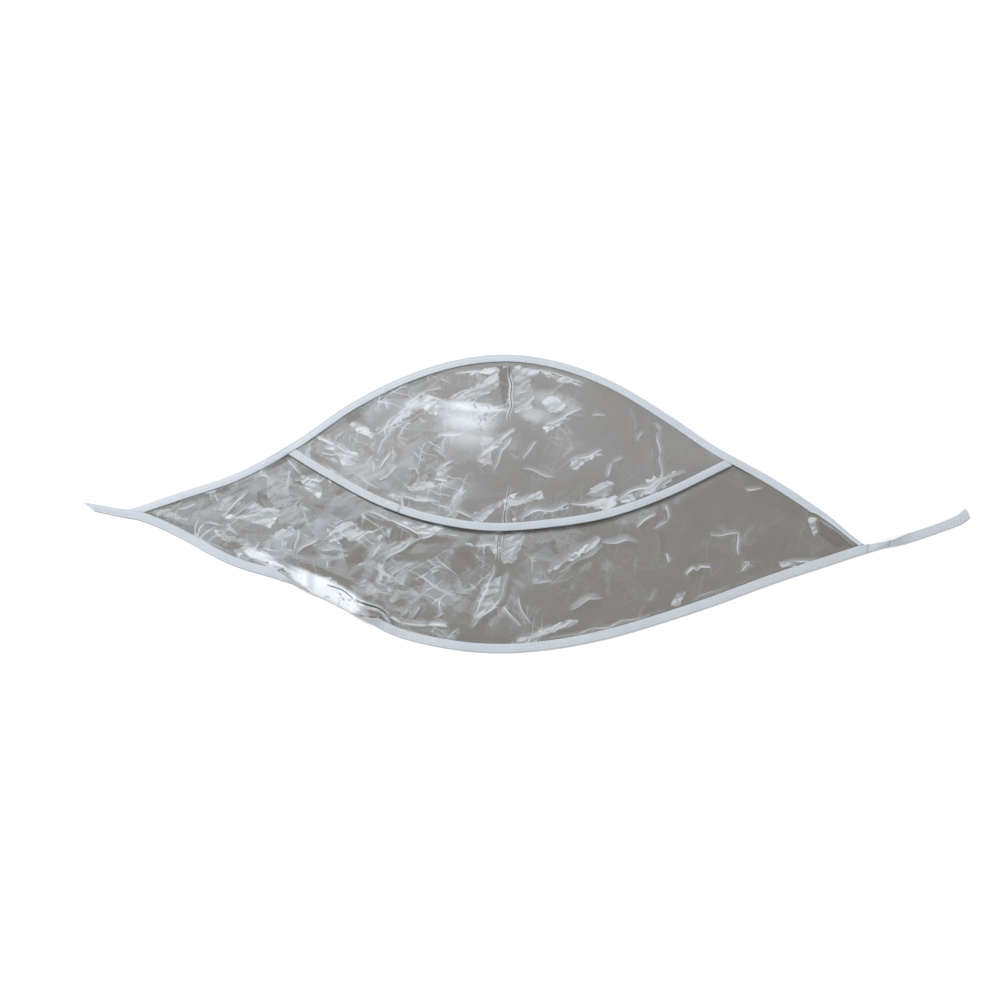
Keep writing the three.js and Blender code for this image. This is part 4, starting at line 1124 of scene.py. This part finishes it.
def film_material(name, colour, cloud_colour, crease_white, opacity):
    """Clear film: a see-through grey that is clouded facet by facet, partly its own haze and partly a
    painted reflection, and white along its creases, on its shards and hair lines, partly whitened film and
    partly painted highlight. The crests' lit sides and the soft spots get painted highlights, and open
    cracks and dark shards get painted shade. Each facet is tilted its own way."""
    n = Nodes(name)
    place = n.add("TexCoord").outputs["Object"]
    off_crest, pale, split = n.parts("crease")
    off_shard, shard_pale, glare_spot = n.parts("shard")
    crinkled = n.add("Attribute", attribute_name="crinkled").outputs["Fac"]
    patchy = {"Vector": place, "Scale": 17.0, "Detail": 3.0, "Roughness": 0.6}
    patch = n.add("TexNoise", patchy).outputs["Fac"]
    where = n.times(n.remap(patch, 0.38, 0.56, 0.12, 1.0), crinkled)
    bending = n.add("TexNoise", {"Vector": place, "Scale": 38.0, "Detail": 3.0})
    bend = bending.outputs["Fac"]
    bent = n.add("Mix", {0: 0.014, 4: place, 5: bending.outputs["Color"]}, data_type="VECTOR").outputs[1]
    grain = n.noise(bent, 260.0, 2.0)

    cloud, tilt, own = facet_nodes(n, bent, where)
    normal = n.vectors("ADD", n.add("NewGeometry").outputs["Normal"], tilt)
    normal = n.add("VectorMath", {0: normal}, operation="NORMALIZE").outputs[0]
    n.surface({"Normal": normal, "Coat Normal": normal})

    hairs = hair_nodes(n, bent)
    hair = n.times(n.most(*hairs), n.remap(bend, 0.5, 0.58), where, 0.65)
    fleck = n.remap(bend, 0.36, 0.5, 0.35, 1.0)
    line, lit_side, crack_shade = crest_nodes(n, off_crest, pale, split, fleck)
    shard, shard_shade = shard_nodes(n, bent, off_shard, shard_pale, bend, grain, own, hairs)
    # Specks break up the painted highlight of the soft white spots.
    speck = n.times(n.remap(grain, 0.56, 0.62), n.remap(bend, 0.48, 0.55))
    glare_spot = n.times(glare_spot, n.remap(speck, 0.0, 1.0, 1.0, 0.35))

    # Cloudier facets: partly the film's haze, partly a painted reflection.
    shade = n.mixed(cloud, rgba(colour), rgba(cloud_colour))
    # Crease lines, hair lines and pale shards are partly whitened film and partly painted highlight; the lit
    # side of each crest is a painted highlight.
    shade = n.mixed(n.most(line, hair, shard, lit_side), shade, rgba(crease_white))
    # Painted highlight of the soft white spots.
    shade = n.mixed(glare_spot, shade, GLARE_WHITE)
    # The dark shards are a painted shade.
    shade = n.mixed(shard_shade, shade, SHARD_SHADE)
    # Open cracks get a painted shade in their gap.
    n.surface({
        "Base Color": n.mixed(crack_shade, shade, CRACK_SHADE), "Roughness": n.remap(patch, 0.3, 0.7, 0.2, 0.34),
        "Alpha": opacity, "IOR": 1.5, "Specular IOR Level": 0.7, "Coat Weight": 1.0, "Coat Roughness": 0.04,
    })
    return n.material


def tape_material(name, colour):
    """Woven tape: slanting ribs, threads along it and a little fuzz. Its colour is slightly darker in the
    valleys of the ribs, a painted shade, and along lengthwise bands and random blotches, and a painted
    shadow darkens the lines where the tape laps over itself."""
    n = Nodes(name)
    weave = n.add("Attribute", attribute_name="weave").outputs["Vector"]
    place = n.add("TexCoord").outputs["Object"]
    turned = n.add("Mapping", {"Vector": weave, "Rotation": (0, 0, radians(28))}).outputs[0]
    rib = {"Vector": turned, "Scale": 125.0, "Distortion": 2.5, "Detail": 1.0, "Detail Scale": 3.0}
    ribs = n.add("TexWave", rib, bands_direction="X").outputs["Fac"]
    thread = {"Vector": weave, "Scale": 420.0, "Distortion": 0.4}
    threads = n.add("TexWave", thread, bands_direction="Y").outputs["Fac"]
    band = {"Vector": weave, "Scale": 150.0, "Distortion": 1.5, "Detail": 2.0, "Detail Scale": 2.0}
    bands = n.add("TexWave", band, bands_direction="Y").outputs["Fac"]
    fuzz, blotch = n.noise(place, 900.0, 3.0), n.noise(place, 45.0, 3.0)
    # Darker in the valleys of the ribs, a painted shade, and in lengthwise bands and blotches.
    shade = n.plus(n.times(ribs, 0.45), n.times(bands, 0.55), blotch)
    woven = n.mixed(n.remap(shade, 0.5, 1.3), rgba(colour, 0.87), rgba(colour))
    # A painted shadow darkens the line where the tape laps over itself.
    lap_shadow = n.times(n.parts("weave")[2], 0.45)
    height = n.plus(n.times(ribs, 0.5), threads, fuzz)
    n.surface({
        "Base Color": n.mixed(lap_shadow, woven, rgba(colour, 0.35)), "Normal": n.bump(height, 0.5, 0.0002),
        "Roughness": 0.72, "Sheen Weight": 0.25, "Sheen Roughness": 0.4,
    })
    return n.material


def thread_material(name, colour):
    """Sewing thread, twisted: fine slanting bands."""
    n = Nodes(name)
    place = n.add("TexCoord").outputs["Object"]
    twist = n.noise(place, 2600.0, 2.0)
    n.surface({
        "Base Color": n.mixed(twist, rgba(colour, 0.8), rgba(colour)), "Normal": n.bump(twist, 0.3, 0.0001),
        "Roughness": 0.5,
    })
    return n.material


def floor_material(name, colour):
    """Matt floor with a faint slow mottle."""
    n = Nodes(name)
    place = n.add("TexCoord").outputs["Object"]
    grain = n.noise(place, 6.0, 2.0)
    n.surface({
        "Base Color": n.mixed(grain, rgba(colour, 0.985), rgba(colour)), "Roughness": 0.95,
        "Specular IOR Level": 0.1,
    })
    return n.material


class RainBonnetSizes(bpy.types.PropertyGroup):
    tape_width: FloatProperty(
        name="Tape width", description="Width of the folded tape",
        default=0.007, min=0.003, max=0.02, unit="LENGTH", precision=4)
    tape_wall: FloatProperty(
        name="Tape wall", description="Thickness of one layer of the tape",
        default=0.0007, min=0.0002, max=0.002, unit="LENGTH", precision=5)
    film: FloatProperty(
        name="Film thickness", description="Thickness of the clear film",
        default=0.0003, min=0.0001, max=0.001, unit="LENGTH", precision=5)
    clearance: FloatProperty(
        name="Clearance", description="Gap between neighbouring layers",
        default=0.0001, min=0.00005, max=0.0005, unit="LENGTH", precision=5)
    hem_lift: FloatProperty(
        name="Hem lift", description="Rise of the flap's hem at the middle of the mouth",
        default=0.0018, min=0, max=0.012, unit="LENGTH", precision=4)
    dome_rise: FloatProperty(
        name="Dome rise", description="Rise of the flap between hem and top edge",
        default=0.009, min=0, max=0.02, unit="LENGTH", precision=4)
    crinkle: FloatProperty(
        name="Crinkle", description="Slope of the film's facets",
        default=0.035, min=0, max=0.6, subtype="FACTOR")
    seed: IntProperty(
        name="Seed", description="Number that sets the random crinkles",
        default=7, min=0)


class RainBonnetFinish(bpy.types.PropertyGroup):
    sheet_colour: FloatVectorProperty(
        name="Sheet colour", description="Tint of the back sheet's film",
        size=3, subtype="COLOR", default=(0.2, 0.188, 0.168), min=0, max=1)
    sheet_opacity: FloatProperty(
        name="Sheet opacity", description="Share of light one face of the sheet holds back",
        default=0.62, min=0, max=1, subtype="FACTOR")
    flap_colour: FloatVectorProperty(
        name="Flap colour", description="Tint of the flap's film",
        size=3, subtype="COLOR", default=(0.332, 0.323, 0.313), min=0, max=1)
    flap_opacity: FloatProperty(
        name="Flap opacity", description="Share of light one face of the flap holds back",
        default=0.5, min=0, max=1, subtype="FACTOR")
    # The sheet's crease colour also paints the highlights on crests, shards and hair lines; its cloud colour
    # is partly a painted reflection of the facets.
    sheet_crease: FloatVectorProperty(
        name="Sheet crease", description="Colour of the sheet along its creases",
        size=3, subtype="COLOR", default=(0.68, 0.735, 0.775), min=0, max=1)
    sheet_cloud: FloatVectorProperty(
        name="Sheet cloud", description="Colour of the sheet's cloudier facets",
        size=3, subtype="COLOR", default=(0.365, 0.4, 0.425), min=0, max=1)
    # The flap's crease colour also paints the highlights on crests, shards and hair lines; its cloud colour
    # is partly a painted reflection of the facets.
    flap_crease: FloatVectorProperty(
        name="Flap crease", description="Colour of the flap along its creases",
        size=3, subtype="COLOR", default=(0.88, 0.94, 0.99), min=0, max=1)
    flap_cloud: FloatVectorProperty(
        name="Flap cloud", description="Colour of the flap's cloudier facets",
        size=3, subtype="COLOR", default=(0.5, 0.538, 0.565), min=0, max=1)
    tape_colour: FloatVectorProperty(
        name="Tape colour", description="Colour of the binding tape",
        size=3, subtype="COLOR", default=(0.49, 0.535, 0.582), min=0, max=1)
    thread_colour: FloatVectorProperty(
        name="Thread colour", description="Colour of the stitches",
        size=3, subtype="COLOR", default=(0.74, 0.79, 0.85), min=0, max=1)
    floor_colour: FloatVectorProperty(
        name="Floor colour", description="Colour of the pale floor",
        size=3, subtype="COLOR", default=(0.9, 0.9, 0.9), min=0, max=1)


class RAINBONNET_OT_back_panel(bpy.types.Operator):
    """Adds the large leaf-shaped sheet of clear film"""

    bl_idname = "rain_bonnet.back_panel"
    bl_label = "Back panel"

    def execute(self, context):
        sizes, finish = context.scene.rain_bonnet_sizes, context.scene.rain_bonnet_finish
        pattern = Pattern(sizes)
        points, look = sheet_points(pattern)
        piece = film_piece("sheet_film", points, look, sizes)
        colours = (finish.sheet_colour, finish.sheet_cloud, finish.sheet_crease)
        material = film_material("clear sheet film", *colours, finish.sheet_opacity)
        dress(piece, "back_panel", material)
        flat, area = pattern.cut(pattern.lower, pattern.sheet_left, pattern.sheet_right)
        return {"FINISHED"}


class RAINBONNET_OT_front_flap(bpy.types.Operator):
    """Adds the shorter flap of clear film over the upper middle"""

    bl_idname = "rain_bonnet.front_flap"
    bl_label = "Front flap"

    def execute(self, context):
        sizes, finish = context.scene.rain_bonnet_sizes, context.scene.rain_bonnet_finish
        pattern = Pattern(sizes)
        points, look = flap_points(pattern)
        piece = film_piece("flap_film", points, look, sizes)
        colours = (finish.flap_colour, finish.flap_cloud, finish.flap_crease)
        material = film_material("clear flap film", *colours, finish.flap_opacity)
        dress(piece, "front_flap", material)
        flat, area = pattern.cut(pattern.hem, pattern.flap_left, pattern.flap_right)
        return {"FINISHED"}


class RAINBONNET_OT_bindings(bpy.types.Operator):
    """Adds the folded tapes of the top edge, of the flap's hem, and of the lower edge with both ties"""

    bl_idname = "rain_bonnet.bindings"
    bl_label = "Bindings and ties"

    def execute(self, context):
        finish = context.scene.rain_bonnet_finish
        material = tape_material("white binding tape", finish.tape_colour)
        for node, tape in tapes(Pattern(context.scene.rain_bonnet_sizes)).items():
            dress(tape_piece(node + "_tape", tape), node, material)
        return {"FINISHED"}


class RAINBONNET_OT_stitching(bpy.types.Operator):
    """Adds the row of stitches along each tape"""

    bl_idname = "rain_bonnet.stitching"
    bl_label = "Stitching"

    def execute(self, context):
        finish = context.scene.rain_bonnet_finish
        material = thread_material("white sewing thread", finish.thread_colour)
        for node, tape in tapes(Pattern(context.scene.rain_bonnet_sizes)).items():
            dress(stitch_piece(node + "_stitches", tape), node, material)
        return {"FINISHED"}


class RAINBONNET_OT_stage(bpy.types.Operator):
    """Adds the pale floor, the soft studio lights and the camera"""

    bl_idname = "rain_bonnet.stage"
    bl_label = "Stage"

    def execute(self, context):
        finish = context.scene.rain_bonnet_finish
        half = FLOOR_SIZE / 2
        corners = np.array([(-half, -half, 0), (half, -half, 0), (half, half, 0), (-half, half, 0)], float)
        floor = new_mesh("pale_floor", corners, [(0, 1, 2, 3)])
        floor.data.materials.append(floor_material("pale floor", finish.floor_colour))
        for softbox in SOFTBOXES:
            area_light(context, *softbox)
        world = bpy.data.worlds.new("studio")
        world.use_nodes = True
        background = world.node_tree.nodes["Background"]
        background.inputs["Color"].default_value = WORLD_COLOUR
        background.inputs["Strength"].default_value = WORLD_STRENGTH
        context.scene.world = world
        context.scene.view_settings.view_transform = "Standard"
        add_camera(context)
        return {"FINISHED"}


def area_light(context, name, place, width, depth, power, colour, mirrored):
    """A rectangular softbox that faces the middle of the bonnet. Its mirror image shows only if mirrored."""
    light = bpy.data.lights.new(name, "AREA")
    light.shape = "RECTANGLE"
    light.size, light.size_y = width, depth
    light.energy = power
    light.color = colour
    lamp = bpy.data.objects.new(name, light)
    lamp.location = place
    lamp.rotation_euler = (-Vector(place)).to_track_quat("-Z", "Y").to_euler()
    lamp.visible_glossy = mirrored
    context.scene.collection.objects.link(lamp)


def add_camera(context):
    """Camera on a line from its target at the photograph's elevation and azimuth."""
    camera = bpy.data.objects.new("camera", bpy.data.cameras.new("camera"))
    camera.data.lens = 100
    camera.data.sensor_width = 36
    level, rise = CAMERA_DISTANCE * cos(CAMERA_ELEVATION), CAMERA_DISTANCE * sin(CAMERA_ELEVATION)
    back = Vector((level * sin(CAMERA_AZIMUTH), -level * cos(CAMERA_AZIMUTH), rise))
    camera.location = Vector(CAMERA_TARGET) + back
    camera.rotation_euler = (-back).to_track_quat("-Z", "Y").to_euler()
    context.scene.collection.objects.link(camera)
    context.scene.camera = camera


class RAINBONNET_PT_sidebar(bpy.types.Panel):
    bl_idname = "RAINBONNET_PT_sidebar"
    bl_label = "Rain Bonnet"
    bl_space_type = "VIEW_3D"
    bl_region_type = "UI"
    bl_category = "Rain Bonnet"

    def draw(self, context):
        layout = self.layout
        for group in (context.scene.rain_bonnet_sizes, context.scene.rain_bonnet_finish):
            box = layout.box()
            for name in group.__annotations__:
                box.prop(group, name)
        for operator in OPERATORS:
            layout.operator(operator.bl_idname)


OPERATORS = (
    RAINBONNET_OT_bindings,
    RAINBONNET_OT_back_panel,
    RAINBONNET_OT_front_flap,
    RAINBONNET_OT_stitching,
    RAINBONNET_OT_stage,
)
CLASSES = (RainBonnetSizes, RainBonnetFinish, *OPERATORS, RAINBONNET_PT_sidebar)


def register():
    for cls in CLASSES:
        bpy.utils.register_class(cls)
    bpy.types.Scene.rain_bonnet_sizes = PointerProperty(type=RainBonnetSizes)
    bpy.types.Scene.rain_bonnet_finish = PointerProperty(type=RainBonnetFinish)


def unregister():
    del bpy.types.Scene.rain_bonnet_finish
    del bpy.types.Scene.rain_bonnet_sizes
    for cls in reversed(CLASSES):
        bpy.utils.unregister_class(cls)


def main():
    register()
    bpy.ops.rain_bonnet.bindings()
    bpy.ops.rain_bonnet.back_panel()
    bpy.ops.rain_bonnet.front_flap()
    bpy.ops.rain_bonnet.stitching()
    bpy.ops.rain_bonnet.stage()


if __name__ == "__main__":
    main()
